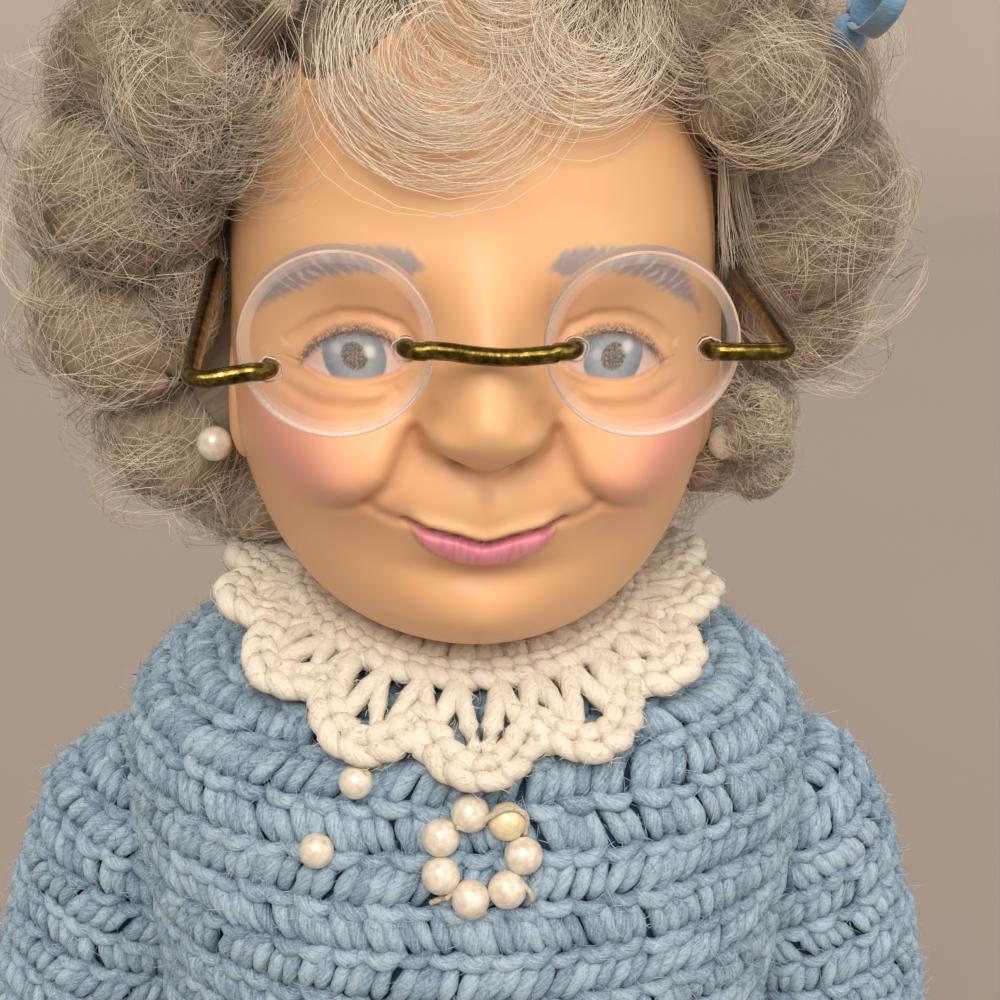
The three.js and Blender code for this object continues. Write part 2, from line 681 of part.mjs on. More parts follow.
const curls = [
  ...curlCentres().map((centre) => ball(CURL_RADIUS, 1, centre.toArray())),
  ...fringeCentres.map((centre) => ball(FRINGE_RADIUS, 1, centre)),
];
const padding = solidOf(ball(1, 3, hairMiddle.toArray(), curlReach.toArray()));
const jawRoom = block(
  [-faceSide, -FAR, hairBottom - FAR],
  [faceSide, HEAD_BACK * 0.6, CHIN_Z + JAW_HEIGHT * 0.46],
);
const templeRow = LENS_Z - 0.4 * LENS_RADIUS;
const earFront = block([-FAR, -FAR, hairBottom - FAR], [FAR, EAR_Y + EAR_OUT, templeRow]);
const below = block([-FAR, -FAR, hairBottom - FAR], [FAR, FAR, hairBottom]);
const hairCuts = [headRoom, earRoom, earringRoom, templeRoom, faceOpening(), jawRoom, earFront, below];
const hair = hairCuts.reduce((left, cut) => left.subtract(cut), joined([padding, ...curls.map(solidOf)]));

const PART_X = 31; // where the side wefts meet the middle ones
const FRINGE_Y = -14;
const BACK_Y = 26;
const part = CLEARANCE / 2;
const wefts = {
  hair_left: [[PART_X + part, -FAR, 0], [FAR, FAR, 2 * FAR]],
  hair_right: [[-FAR, -FAR, 0], [-PART_X - part, FAR, 2 * FAR]],
  hair_fringe: [[part - PART_X, -FAR, 0], [PART_X - part, FRINGE_Y - part, 2 * FAR]],
  hair_crown: [[part - PART_X, FRINGE_Y + part, 0], [PART_X - part, BACK_Y - part, 2 * FAR]],
  hair_back: [[part - PART_X, BACK_Y + part, 0], [PART_X - part, FAR, 2 * FAR]],
};
for (const [name, [low, high]] of Object.entries(wefts)) {
  piece(name, geometryOf(hair.intersect(block(low, high)), SOFT_FACET), hairFibre, head);
}

// Spectacles: two clear discs, joined and hung by wires whose ends pass through holes in them
const spectacles = new THREE.Group();
head.add(spectacles);
const lensBack = LENS_THICKNESS - LENS_FRONT;
const wireY = -LENS_FRONT - LENS_DOME - CLEARANCE - WIRE_RADIUS;
const wireEndY = lensBack + 1.2;
const WIRE_BEND = 2.2;

function wireHole(x) {
  const radius = WIRE_RADIUS + CLEARANCE;
  const length = 10 * LENS_THICKNESS;
  return solidOf(new THREE.CylinderGeometry(radius, radius, length, 10).translate(x, -LENS_FRONT, LENS_Z));
}

function lens(side) {
  const profile = [[0, 0], [LENS_RADIUS, 0], [LENS_RADIUS, LENS_THICKNESS]];
  const dome = [0.66, 0.33, 0].map((share) => [
    LENS_RADIUS * share,
    LENS_THICKNESS + LENS_DOME * (1 - share ** 2),
  ]);
  const disc = turned([...profile, ...dome], 32);
  disc.rotateX(Math.PI / 2).translate(side * LENS_SPREAD, lensBack, LENS_Z);
  return geometryOf(
    solidOf(disc).subtract(wireHole(side * BRIDGE_SPREAD)).subtract(wireHole(side * HINGE_SPREAD)),
  );
}

const spot = (x, y, z) => new THREE.Vector3(x, y, z);

// From behind a lens forwards through its hole, then round a bend towards the given side
function hookFrom(x, side) {
  return [
    new THREE.LineCurve3(spot(x, wireEndY, LENS_Z), spot(x, wireY + WIRE_BEND, LENS_Z)),
    new THREE.QuadraticBezierCurve3(
      spot(x, wireY + WIRE_BEND, LENS_Z),
      spot(x, wireY, LENS_Z),
      spot(x + side * WIRE_BEND, wireY, LENS_Z),
    ),
  ];
}

function wireOf(curves, steps) {
  const path = new THREE.CurvePath();
  curves.forEach((curve) => path.add(curve));
  return geometryOf(solidOf(rod(path, WIRE_RADIUS, steps, 8)));
}

// The bridge bows back to lie on the nose and sags a little
function bridgeWire() {
  const noseY = -FACE_DEPTH - faceDepth(0, LENS_HEIGHT - BRIDGE_SAG);
  const restY = Math.max(wireY, noseY - CLEARANCE - WIRE_RADIUS);
  const near = BRIDGE_SPREAD - WIRE_BEND;
  const across = new THREE.CatmullRomCurve3([
    spot(-near, wireY, LENS_Z),
    spot(-near * 0.55, (wireY * 2 + restY) / 3, LENS_Z - BRIDGE_SAG * 0.4),
    spot(0, restY, LENS_Z - BRIDGE_SAG),
    spot(near * 0.55, (wireY * 2 + restY) / 3, LENS_Z - BRIDGE_SAG * 0.4),
    spot(near, wireY, LENS_Z),
  ]);
  const [end, turn] = hookFrom(BRIDGE_SPREAD, -1);
  const back = [
    new THREE.QuadraticBezierCurve3(turn.v2, turn.v1, turn.v0),
    new THREE.LineCurve3(end.v2, end.v1),
  ];
  return wireOf([...hookFrom(-BRIDGE_SPREAD, 1), across, ...back], 26);
}

function templeWire(side) {
  const corner = side * SPECTACLE_HALF_WIDTH;
  const start = spot(side * (HINGE_SPREAD + WIRE_BEND), wireY, LENS_Z);
  const before = spot(corner - side * WIRE_BEND, wireY, LENS_Z);
  const after = spot(corner, wireY + WIRE_BEND, LENS_Z);
  const end = spot(corner, wireY + TEMPLE_LENGTH, LENS_Z);
  const curves = [
    ...hookFrom(side * HINGE_SPREAD, side),
    new THREE.LineCurve3(start, before),
    new THREE.QuadraticBezierCurve3(before, spot(corner, wireY, LENS_Z), after),
    new THREE.LineCurve3(after, end),
  ];
  return wireOf(curves, 26);
}

for (const [name, side] of sides) {
  piece(`${name}_lens`, lens(side), clearPlastic, spectacles);
  piece(`${name}_temple_wire`, templeWire(side), brassWire, spectacles);
}
piece("bridge_wire", bridgeWire(), brassWire, spectacles);

// Yarn drawn tight round the neck, which keeps the flange in
const tieRing = NECK_RADIUS + CLEARANCE + TIE_RADIUS;
const tie = new THREE.TorusGeometry(tieRing, TIE_RADIUS, 6, 20);
piece("neck_tie", tie.translate(0, 0, NECK_Z + CLEARANCE + TIE_RADIUS), blueYarn);

// Lace collar: a scalloped ruff that stands at the sides and falls in front, with a hole in each scallop
const collarInner = tieRing + TIE_RADIUS + CLEARANCE;
const collarFootZ = NECK_Z + CLEARANCE + COLLAR_THICKNESS / 2;

function collarPoint(turn, share, rise) {
  const forward = Math.max(0, -Math.sin(turn)) ** 2;
  const scallop = SCALLOP_DEPTH * (Math.abs(Math.sin((COLLAR_SCALLOPS * turn) / 2)) - 1);
  const outer = THREE.MathUtils.lerp(COLLAR_SIDE, COLLAR_FRONT, forward) + scallop;
  const end = THREE.MathUtils.lerp(COLLAR_STAND, -COLLAR_FALL, forward);
  const radius = THREE.MathUtils.lerp(collarInner, outer, share);
  const z = collarFootZ + rise + (NECK_Z + end - collarFootZ) * share ** 2.2;
  return new THREE.Vector3(radius * Math.cos(turn), radius * Math.sin(turn), z);
}

function collarSolid() {
  const half = COLLAR_THICKNESS / 2;
  const section = [[0, half], [0.55, half], [1, 0], [0.55, -half], [0, -half]];
  const count = COLLAR_SCALLOPS * 4;
  const rings = Array.from({ length: count }, (_, k) =>
    section.map(([share, rise]) => collarPoint((2 * Math.PI * k) / count, share, rise)),
  );
  const holes = Array.from({ length: COLLAR_SCALLOPS }, (_, k) => {
    const at = collarPoint((2 * Math.PI * (k + 0.5)) / COLLAR_SCALLOPS, 0.68, 0);
    const hole = new THREE.CylinderGeometry(LACE_HOLE, LACE_HOLE, 6 * COLLAR_THICKNESS, 6);
    return solidOf(hole.rotateX(Math.PI / 2).translate(...at.toArray()));
  });
  return holes.reduce((left, hole) => left.subtract(hole), solidOf(skin(rings, true)));
}

piece("lace_collar", geometryOf(collarSolid()), whiteYarn);

// Depth of the bodice's front at a place across it and a height
function bodiceFront(x, z) {
  const points = bodiceCurve.getSpacedPoints(120);
  const below = Math.max(1, points.findIndex((p) => p.z <= z));
  const share = (points[below - 1].z - z) / (points[below - 1].z - points[below].z);
  const at = points[below - 1].clone().lerp(points[below], share);
  return -at.y * (1 - Math.min(1, Math.abs(x) / at.x) ** 2.3) ** (1 / 2.3);
}

// Puts a geometry made round the origin, facing +Z, on the bodice, lifted off the cloth
function onBodice(geometry, x, z, lift) {
  const step = 2;
  const alongX = (bodiceFront(x + step, z) - bodiceFront(x - step, z)) / (2 * step);
  const alongZ = (bodiceFront(x, z + step) - bodiceFront(x, z - step)) / (2 * step);
  const out = new THREE.Vector3(alongX, -1, alongZ).normalize();
  const at = new THREE.Vector3(x, bodiceFront(x, z), z).addScaledVector(out, lift);
  const turn = new THREE.Quaternion().setFromUnitVectors(new THREE.Vector3(0, 0, 1), out);
  return geometry.applyQuaternion(turn).translate(...at.toArray());
}

// Brooch: pearls threaded into a ring
const pearlLift = PEARL_RADIUS + CLEARANCE;
const broochZ = NECK_Z - BROOCH_DROP;
const broochRing = (PEARL_RADIUS + CLEARANCE / 2) / Math.sin(Math.PI / BROOCH_PEARLS);
for (let k = 0; k < BROOCH_PEARLS; k += 1) {
  const turn = (2 * Math.PI * k) / BROOCH_PEARLS;
  const strung = bead(PEARL_RADIUS, PEARL_BORE).rotateX(Math.PI / 2);
  strung.translate(broochRing, 0, 0).rotateZ(turn);
  piece(`brooch_pearl_${k + 1}`, onBodice(strung, 0, broochZ, pearlLift), k === 1 ? yellowPearl : pearl);
}
const threadReach = broochRing / Math.cos(Math.PI / BROOCH_PEARLS);
const threadRing = new THREE.TorusGeometry(threadReach, THREAD_RADIUS, 6, BROOCH_PEARLS);
threadRing.rotateZ(Math.PI / BROOCH_PEARLS);
piece("brooch_thread", onBodice(threadRing, 0, broochZ, pearlLift), thread);

// Two single pearls on the doll's right
const singlePearls = [[-17.5, 12.2], [-23.0, 20.6]];
singlePearls.forEach(([x, drop], k) => {
  const single = bead(PEARL_RADIUS, PEARL_BORE).rotateY(Math.PI / 2);
  piece(`single_pearl_${k + 1}`, onBodice(single, x, NECK_Z - drop, pearlLift), pearl);
});

// Hair ribbon: a knot on the curls with two loops and two tails
const ribbonOut = wayFrom(THREE.MathUtils.degToRad(RIBBON_TURN), THREE.MathUtils.degToRad(RIBBON_RISE));

// How far the outermost curl reaches along a ray from the middle of the hair
function hairReachAlong(way) {
  const reaches = curlCentres().map((centre) => {
    const from = centre.clone().sub(hairMiddle);
    const along = from.dot(way);
    const aside = from.lengthSq() - along ** 2;
    return along + Math.sqrt(Math.max(0, CURL_RADIUS ** 2 - aside));
  });
  return Math.max(...reaches);
}

const knotReach = hairReachAlong(ribbonOut) + CLEARANCE + KNOT_RADIUS;
const knotAt = hairMiddle.clone().addScaledVector(ribbonOut, knotReach);

// A ribbon band in the plane of Y and Z, run along a closed or open outline and centred on X
function band(outline) {
  const strip = new THREE.ExtrudeGeometry(outline, { depth: RIBBON_WIDTH, bevelEnabled: false });
  return strip.translate(0, 0, -RIBBON_WIDTH / 2);
}

// A drop-shaped loop that starts at the knot and points along +Y of its outline
function loopOutline() {
  const drop = (inset) => {
    const path = new THREE.Path();
    const foot = KNOT_RADIUS + CLEARANCE + inset;
    const top = KNOT_RADIUS + RIBBON_LOOP - inset;
    const half = RIBBON_LOOP * 0.32 - inset;
    path.moveTo(0, foot);
    path.bezierCurveTo(half, foot + RIBBON_LOOP * 0.3, half * 1.4, top, 0, top);
    path.bezierCurveTo(-half * 1.4, top, -half, foot + RIBBON_LOOP * 0.3, 0, foot);
    return path;
  };
  const outline = new THREE.Shape(drop(0).getPoints(8));
  outline.holes.push(new THREE.Path(drop(RIBBON_THICKNESS).getPoints(8)));
  return outline;
}

function tailOutline() {
  const outline = new THREE.Shape();
  const foot = KNOT_RADIUS + CLEARANCE;
  const half = RIBBON_THICKNESS / 2;
  outline.moveTo(-half, foot);
  outline.lineTo(half, foot);
  outline.quadraticCurveTo(half + 2, foot + RIBBON_LOOP * 0.5, half, foot + RIBBON_LOOP * 0.9);
  outline.lineTo(-half, foot + RIBBON_LOOP * 0.9);
  outline.quadraticCurveTo(2 - half, foot + RIBBON_LOOP * 0.5, -half, foot);
  return outline;
}

// Places a band so that its outline's Y runs along the bow, leant towards the front by an angle
function onHair(geometry, lean) {
  const bow = wayFrom(THREE.MathUtils.degToRad(RIBBON_TURN), THREE.MathUtils.degToRad(BOW_RISE));
  const front = new THREE.Vector3(0, -1, 0).addScaledVector(bow, bow.y).normalize();
  const across = new THREE.Vector3().crossVectors(bow, front);
  const way = bow.clone().multiplyScalar(Math.cos(lean)).addScaledVector(front, Math.sin(lean));
  const side = new THREE.Vector3().crossVectors(way, across);
  const turn = new THREE.Matrix4().makeBasis(side, way, across);
  return geometry.applyMatrix4(turn).translate(...knotAt.toArray());
}

const ribbonPieces = [
  ["ribbon_loop_upper", loopOutline(), -0.5],
  ["ribbon_loop_lower", loopOutline(), 0.9],
  ["ribbon_tail_upper", tailOutline(), 0.05],
  ["ribbon_tail_lower", tailOutline(), 0.4],
];
for (const [name, outline, lean] of ribbonPieces) {
  piece(name, onHair(geometryOf(solidOf(band(outline))), lean), satin, head);
}
piece("ribbon_knot", ball(KNOT_RADIUS, 1, knotAt.toArray()), satin, head);

export default doll;
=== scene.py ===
# The looks of a grandmother doll: a vinyl head with curled hair and wire spectacles on a crocheted body.
# Lengths are millimetres until a mesh is made. The doll faces -Y, and its own left side is +X.
import math

import bpy
import numpy as np
from mathutils import Matrix, Vector


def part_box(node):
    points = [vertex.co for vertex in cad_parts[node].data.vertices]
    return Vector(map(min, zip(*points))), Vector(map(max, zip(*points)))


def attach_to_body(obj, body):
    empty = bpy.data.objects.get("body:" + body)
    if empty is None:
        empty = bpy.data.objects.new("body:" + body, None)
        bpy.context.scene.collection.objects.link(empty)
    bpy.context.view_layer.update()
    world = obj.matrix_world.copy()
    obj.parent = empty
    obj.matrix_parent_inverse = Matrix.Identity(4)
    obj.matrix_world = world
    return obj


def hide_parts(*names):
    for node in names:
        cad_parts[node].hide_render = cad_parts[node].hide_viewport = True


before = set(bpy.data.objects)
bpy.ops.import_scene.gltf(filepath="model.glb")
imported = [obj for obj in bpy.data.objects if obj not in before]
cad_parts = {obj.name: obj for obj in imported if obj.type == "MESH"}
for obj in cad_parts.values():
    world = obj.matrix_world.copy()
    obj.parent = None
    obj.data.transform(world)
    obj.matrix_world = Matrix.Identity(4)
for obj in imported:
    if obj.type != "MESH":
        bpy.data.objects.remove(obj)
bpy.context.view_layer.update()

MM = 0.001
SIDES = (("left", 1), ("right", -1))

# Camera of the photograph
CAMERA_AT = (-13.18, -288.33, 379.72)
CAMERA_RIGHT = (0.9982, -0.0568, 0.0164)
CAMERA_UP = (0.0041, 0.3424, 0.9395)
CAMERA_BACK = (-0.0590, -0.9378, 0.3420)
CAMERA_LENS = 68.4

# Levels and sizes shared with the solids
NECK_Z = 256.0
HEAD_MIDDLE_Z = 313.6
JAW_HEIGHT = 53.5
CROWN_RISE = 52.5
CHIN_Z = HEAD_MIDDLE_Z - JAW_HEIGHT
HEAD_HALF_WIDTH = 37.0
FACE_DEPTH = 44.7
HEAD_BACK = 42.0
NECK_RADIUS = 13.0


# Numbers
def smooth(value, low, high):
    share = np.clip((value - low) / (high - low), 0, 1)
    return share * share * (3 - 2 * share)


def lerp(a, b, share):
    return a + (b - a) * share


def unit(v):
    v = np.asarray(v, float)
    return v / np.maximum(np.linalg.norm(v, axis=-1, keepdims=True), 1e-9)


def bell(value, middle, spread):
    return np.exp(-(((value - middle) / spread) ** 2))


def linear(red, green, blue):
    """An sRGB colour of 0 to 255 as the linear one that a shader takes."""
    c = np.array([red, green, blue]) / 255
    return np.where(c <= 0.04045, c / 12.92, ((c + 0.055) / 1.055) ** 2.4)


def colour(red, green, blue):
    return (*linear(red, green, blue), 1.0)


LATTICE_SIZE = 256
LATTICE = np.random.default_rng(5).random((LATTICE_SIZE, LATTICE_SIZE))


def noise(x, y, seed):
    """Smooth noise from 0 to 1 with features one unit wide."""
    x = np.asarray(x, float) + 37.7 * seed
    y = np.asarray(y, float) + 91.3 * seed
    column = np.floor(x).astype(int)
    row = np.floor(y).astype(int)
    across = smooth(x - column, 0, 1)
    up = smooth(y - row, 0, 1)

    def at(i, j):
        return LATTICE[(column + i) % LATTICE_SIZE, (row + j) % LATTICE_SIZE]

    return lerp(lerp(at(0, 0), at(1, 0), across), lerp(at(0, 1), at(1, 1), across), up)


def run_along(paths):
    """Distance along each path to each of its points."""
    steps = np.linalg.norm(np.diff(paths, axis=-2), axis=-1)
    return np.concatenate([np.zeros_like(steps[..., :1]), np.cumsum(steps, axis=-1)], axis=-1)


def distance_to(x, y, line):
    """Distance from points to a line of corners, and how far along the line the nearest place is."""
    line = np.asarray(line, float)
    starts = run_along(line)
    best = np.full(np.shape(x), 1e9)
    along = np.zeros(np.shape(x))
    for a, b, start in zip(line, line[1:], starts):
        length = np.linalg.norm(b - a)
        way = (b - a) / length
        run = np.clip((x - a[0]) * way[0] + (y - a[1]) * way[1], 0, length)
        off = np.hypot(x - a[0] - run * way[0], y - a[1] - run * way[1])
        closer = off < best
        best = np.where(closer, off, best)
        along = np.where(closer, (start + run) / starts[-1], along)
    return best, along


def curve_through(points, count):
    """Even points along a smooth line through the given ones."""
    points = np.asarray(points, float)
    ends = np.concatenate([[2 * points[0] - points[1]], points, [2 * points[-1] - points[-2]]])
    t = np.linspace(0, len(points) - 1, count * 8)
    k = np.minimum(t.astype(int), len(points) - 2)
    s = (t - k)[:, None]
    a, b, c, d = (ends[k + i] for i in range(4))
    fine = 0.5 * (2 * b + (c - a) * s + (2 * a - 5 * b + 4 * c - d) * s**2 + (3 * b - a - 3 * c + d) * s**3)
    run = run_along(fine)
    even = np.linspace(0, run[-1], count)
    return np.stack([np.interp(even, run, fine[:, i]) for i in range(3)], -1)


# Meshes
def linked(name, data):
    """A new object in the scene."""
    thing = bpy.data.objects.new(name, data)
    bpy.context.scene.collection.objects.link(thing)
    return thing


def keep_values(mesh, **values):
    """Values kept on a mesh's points, each a number or a colour."""
    for key, value in values.items():
        value = np.asarray(value, np.float32)
        if value.ndim == 1:
            mesh.attributes.new(key, "FLOAT", "POINT").data.foreach_set("value", value)
        else:
            full = np.concatenate([value, np.ones((len(value), 1), np.float32)], axis=1)
            mesh.attributes.new(key, "FLOAT_COLOR", "POINT").data.foreach_set("color", full.ravel())


def attach(piece, body, slot, replaces):
    """Puts a piece on its body and hides the solids that it stands for; its finish (slot) is not used."""
    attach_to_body(piece, body)
    if replaces:
        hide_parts(*replaces)


def mesh_piece(name, points, faces, material, body, slot=None, replaces=(), **values):
    """A piece from points in millimetres and arrays of faces, with values kept on its points."""
    mesh = bpy.data.meshes.new(name)
    points = np.asarray(points, np.float32).reshape(-1, 3) * MM
    faces = [np.asarray(f, np.int32) for f in faces if len(f)]
    loops = np.concatenate([f.ravel() for f in faces])
    counts = np.concatenate([np.full(len(f), f.shape[1], np.int32) for f in faces])
    starts = np.concatenate([[0], np.cumsum(counts)[:-1]]).astype(np.int32)
    mesh.vertices.add(len(points))
    mesh.vertices.foreach_set("co", points.ravel())
    mesh.loops.add(len(loops))
    mesh.loops.foreach_set("vertex_index", loops)
    mesh.polygons.add(len(counts))
    mesh.polygons.foreach_set("loop_start", starts)
    mesh.update(calc_edges=True)
    mesh.shade_smooth()
    keep_values(mesh, **values)
    mesh.materials.append(material)
    piece = linked(name, mesh)
    attach(piece, body, slot, replaces)
    return piece


def settle(piece):
    """Puts what a piece's modifiers make into its own mesh."""
    bpy.context.view_layer.update()
    shaped = piece.evaluated_get(bpy.context.evaluated_depsgraph_get())
    mesh = bpy.data.meshes.new_from_object(shaped)
    piece.modifiers.clear()
    piece.data = mesh


def grid_faces(rows, columns, wrap=False):
    """Quads between rows of points; with wrap, the last column meets the first."""
    across = columns if wrap else columns - 1
    r, c = np.meshgrid(np.arange(rows - 1), np.arange(across), indexing="ij")
    n = (c + 1) % columns
    quads = np.stack([r * columns + c, r * columns + n, (r + 1) * columns + n, (r + 1) * columns + c], -1)
    return quads.reshape(-1, 4)


def capped_faces(rows, columns, flip=False):
    """Quads round closed rows of points, with a flat end at the first row and at the last."""
    ring = np.arange(columns)
    ends = [ring[None], (rows - 1) * columns + ring[None, ::-1]]
    faces = [grid_faces(rows, columns, wrap=True)[:, ::-1], *ends]
    return [f[:, ::-1] for f in faces] if flip else faces


def ball_grid(low, high, rows, columns):
    """Angles from a pole, and round it, for the points of a ball."""
    turn = 2 * np.pi * np.arange(columns) / columns
    return np.meshgrid(np.linspace(low, high, rows), turn, indexing="ij")


def frames_along(paths):
    """Two cross directions, carried along each path without twist."""
    tangent = unit(np.gradient(paths, axis=1))
    up = np.where(np.abs(tangent[:, :1, 2:]) < 0.8, np.array([0, 0, 1.0]), np.array([1.0, 0, 0]))
    normal = np.empty_like(paths)
    last = up[:, 0]
    for k in range(paths.shape[1]):
        last = unit(last - np.sum(last * tangent[:, k], -1, keepdims=True) * tangent[:, k])
        normal[:, k] = last
    return normal, np.cross(tangent, normal)


def tubes(paths, radii, sides, lobes=0, lobe=0.0, twist=0.0, phase=0.0):
    """Closed tubes of points (n, p, 3) and radii that fit (n, p), with plies that turn along them."""
    paths = np.asarray(paths, float)
    count, steps, _ = paths.shape
    radii = np.broadcast_to(np.asarray(radii, float), (count, steps))
    normal, binormal = frames_along(paths)
    around = 2 * np.pi * np.arange(sides) / sides
    turn = around + (twist * run_along(paths) + phase)[:, :, None]
    reach = radii[:, :, None] * (1 + lobe * np.cos(lobes * around))
    points = (
        paths[:, :, None]
        + (reach * np.cos(turn))[..., None] * normal[:, :, None]
        + (reach * np.sin(turn))[..., None] * binormal[:, :, None]
    )
    quads = grid_faces(steps, sides, wrap=True)[:, ::-1]
    offsets = (np.arange(count) * steps * sides)[:, None, None]
    ends = np.stack([np.arange(sides), (steps - 1) * sides + np.arange(sides)[::-1]])
    return points.reshape(-1, 3), [(quads + offsets).reshape(-1, 4), (ends + offsets).reshape(-1, sides)]


def per_point(values, steps, sides):
    """A value of each tube, repeated for all its points."""
    return np.repeat(np.asarray(values, float), steps * sides, axis=0)


def joined(parts):
    """Several (points, faces) as one."""
    points = []
    faces = []
    start = 0
    for p, f in parts:
        points.append(p)
        faces += [np.asarray(k) + start for k in f]
        start += len(p)
    return np.concatenate(points), faces


# Materials
class Shader:
    """A node material round one Principled shader."""

    def __init__(self, name, **settings):
        self.material = bpy.data.materials.new(name)
        self.material.use_nodes = True
        self.tree = self.material.node_tree
        self.surface = self.tree.nodes["Principled BSDF"]
        for key, value in settings.items():
            self.surface.inputs[key.replace("_", " ")].default_value = value

    def add(self, kind, inputs=(), **settings):
        node = self.tree.nodes.new("ShaderNode" + kind)
        for key, value in settings.items():
            setattr(node, key, value)
        for key, value in dict(inputs).items():
            self.put(node.inputs[key], value)
        return node

    def put(self, socket, value):
        if isinstance(value, bpy.types.NodeSocket):
            self.tree.links.new(value, socket)
        else:
            socket.default_value = value

    def set(self, name, value):
        self.put(self.surface.inputs[name], value)

    def place(self, scale=(1, 1, 1)):
        """Places on the object in millimetres, times scale."""
        at = self.add("TexCoord").outputs["Object"]
        return self.add("Mapping", {0: at, 3: [s / MM for s in scale]}).outputs[0]

    def value(self, name, output="Fac"):
        """A value kept on the mesh's points: Fac is a number, Color and Vector are three."""
        return self.add("Attribute", attribute_name=name).outputs[output]

    def noise(self, scale, detail, at=None, roughness=0.5):
        inputs = {"Vector": at or self.place(), "Scale": scale, "Detail": detail, "Roughness": roughness}
        return self.add("TexNoise", inputs).outputs["Fac"]

    def math(self, operation, a, b):
        return self.add("Math", {0: a, 1: b}, operation=operation).outputs[0]

    def between(self, share, low, high):
        """A number that runs from low to high with a share from 0 to 1."""
        return self.add("MapRange", {"Value": share, "To Min": low, "To Max": high}).outputs[0]

    def mix(self, share, a, b, how="MIX"):
        node = self.add("Mix", data_type="RGBA", blend_type=how)
        for socket, value in zip((node.inputs[0], node.inputs[6], node.inputs[7]), (share, a, b)):
            self.put(socket, value)
        return node.outputs[2]

    def ramp(self, share, *stops):
        node = self.add("ValToRGB", {0: share})
        steps = node.color_ramp.elements
        while len(steps) < len(stops):
            steps.new(0.5)
        for step, (place, shade) in zip(steps, stops):
            step.position = place
            step.color = shade
        return node.outputs[0]

    def bump(self, height, strength, depth):
        node = self.add("Bump", {"Strength": strength, "Distance": depth * MM, "Height": height})
        self.set("Normal", node.outputs[0])


def vinyl_material():
    s = Shader("painted_vinyl", Roughness=0.42, Specular_IOR_Level=0.42, Subsurface_Weight=0.12,
               Subsurface_Radius=(1.0, 0.42, 0.22), Subsurface_Scale=2.2 * MM)
    tint = s.ramp(s.noise(0.16, 4), (0.3, (0.97, 0.95, 0.94, 1)), (0.7, (1.0, 1.0, 1.0, 1)))
    s.set("Base Color", s.mix(1.0, s.value("paint", "Color"), tint, "MULTIPLY"))
    s.set("Roughness", s.between(s.noise(0.5, 5), 0.34, 0.52))
    grain = s.math("ADD", s.noise(4.5, 2), s.math("MULTIPLY", s.noise(0.5, 3), 1.5))
    s.bump(grain, 0.12, 0.1)
    return s.material


def clear_material():
    s = Shader("clear_acrylic", IOR=1.49)
    edge = s.value("edge")
    s.set("Base Color", s.mix(edge, (0.97, 0.955, 0.945, 1), colour(238, 214, 200)))
    s.set("Roughness", s.math("ADD", s.between(s.noise(0.35, 4), 0.0, 0.03), s.math("MULTIPLY", edge, 0.3)))
    s.set("Transmission Weight", s.between(edge, 1.0, 0.6))
    path = s.add("LightPath")
    clear = s.add("BsdfTransparent", {0: (0.93, 0.92, 0.91, 1)})
    mixed = s.add("MixShader", {0: path.outputs["Is Shadow Ray"]})
    s.put(mixed.inputs[1], s.surface.outputs[0])
    s.put(mixed.inputs[2], clear.outputs[0])
    s.put(s.tree.nodes["Material Output"].inputs["Surface"], mixed.outputs[0])
    return s.material


def frost_material():
    s = Shader("chipped_acrylic", Roughness=0.45, IOR=1.49, Transmission_Weight=0.45)
    pale = s.ramp(s.noise(2.4, 3), (0.35, colour(214, 184, 160)), (0.65, colour(246, 234, 222)))
    s.set("Base Color", pale)
    s.bump(s.noise(3.0, 3), 0.6, 0.15)
    return s.material


def brass_material():
    s = Shader("antique_brass", Metallic=1.0, Roughness=0.22)
    tarnish = s.noise(0.7, 6, roughness=0.65)
    stops = (0.34, colour(54, 44, 18)), (0.52, colour(100, 82, 34)), (0.72, colour(162, 142, 82))
    s.set("Base Color", s.ramp(tarnish, *stops))
    s.set("Roughness", s.between(tarnish, 0.28, 0.14))
    s.bump(s.noise(1.6, 4), 0.35, 0.12)
    return s.material


def pearl_material(name, pale, deep):
    s = Shader(name, Roughness=0.3, Specular_IOR_Level=0.6, Coat_Weight=1.0, Coat_Roughness=0.1,
               Subsurface_Weight=0.15, Subsurface_Radius=(1, 0.9, 0.8), Subsurface_Scale=0.8 * MM)
    s.set("Base Color", s.ramp(s.noise(0.8, 3), (0.3, deep), (0.65, pale)))
    s.set("Roughness", s.between(s.noise(2.0, 3), 0.24, 0.36))
    s.bump(s.noise(1.2, 2), 0.05, 0.05)
    return s.material


def yarn_material(name, deep, middle, pale):
    s = Shader(name, Roughness=0.85, Specular_IOR_Level=0.2,
               Sheen_Weight=0.35, Sheen_Roughness=0.4, Sheen_Tint=pale)
    fibre = s.noise(1.0, 6, at=s.value("strand", "Vector"), roughness=0.7)
    fuzzy = s.noise(2.4, 4, roughness=0.65)
    fibre = s.math("ADD", fibre, s.math("MULTIPLY", s.math("SUBTRACT", fuzzy, 0.5), 0.6))
    # Painted shade: the colour darkens where the yarn lies low between stitches and pales where it stands
    # high
    shade = s.math("ADD", s.math("MULTIPLY", s.value("height"), 0.62), s.math("MULTIPLY", fibre, 1.1))
    shade = s.math("ADD", shade, s.math("MULTIPLY", s.value("tone"), 0.22))
    s.set("Base Color", s.ramp(s.math("SUBTRACT", shade, 0.48), (0.08, deep), (0.45, middle), (0.85, pale)))
    s.bump(fibre, 0.9, 0.4)
    return s.material


def hair_material():
    s = Shader("grey_hair", Roughness=0.36, Specular_IOR_Level=0.5)
    shade = s.math("ADD", s.value("tone"), s.math("MULTIPLY", s.noise(0.12, 2), 0.16))
    stops = (0.1, colour(134, 116, 97)), (0.55, colour(182, 163, 142)), (1.0, colour(240, 227, 207))
    s.set("Base Color", s.ramp(shade, *stops))
    s.set("Roughness", s.between(s.noise(0.4, 2), 0.28, 0.46))
    return s.material


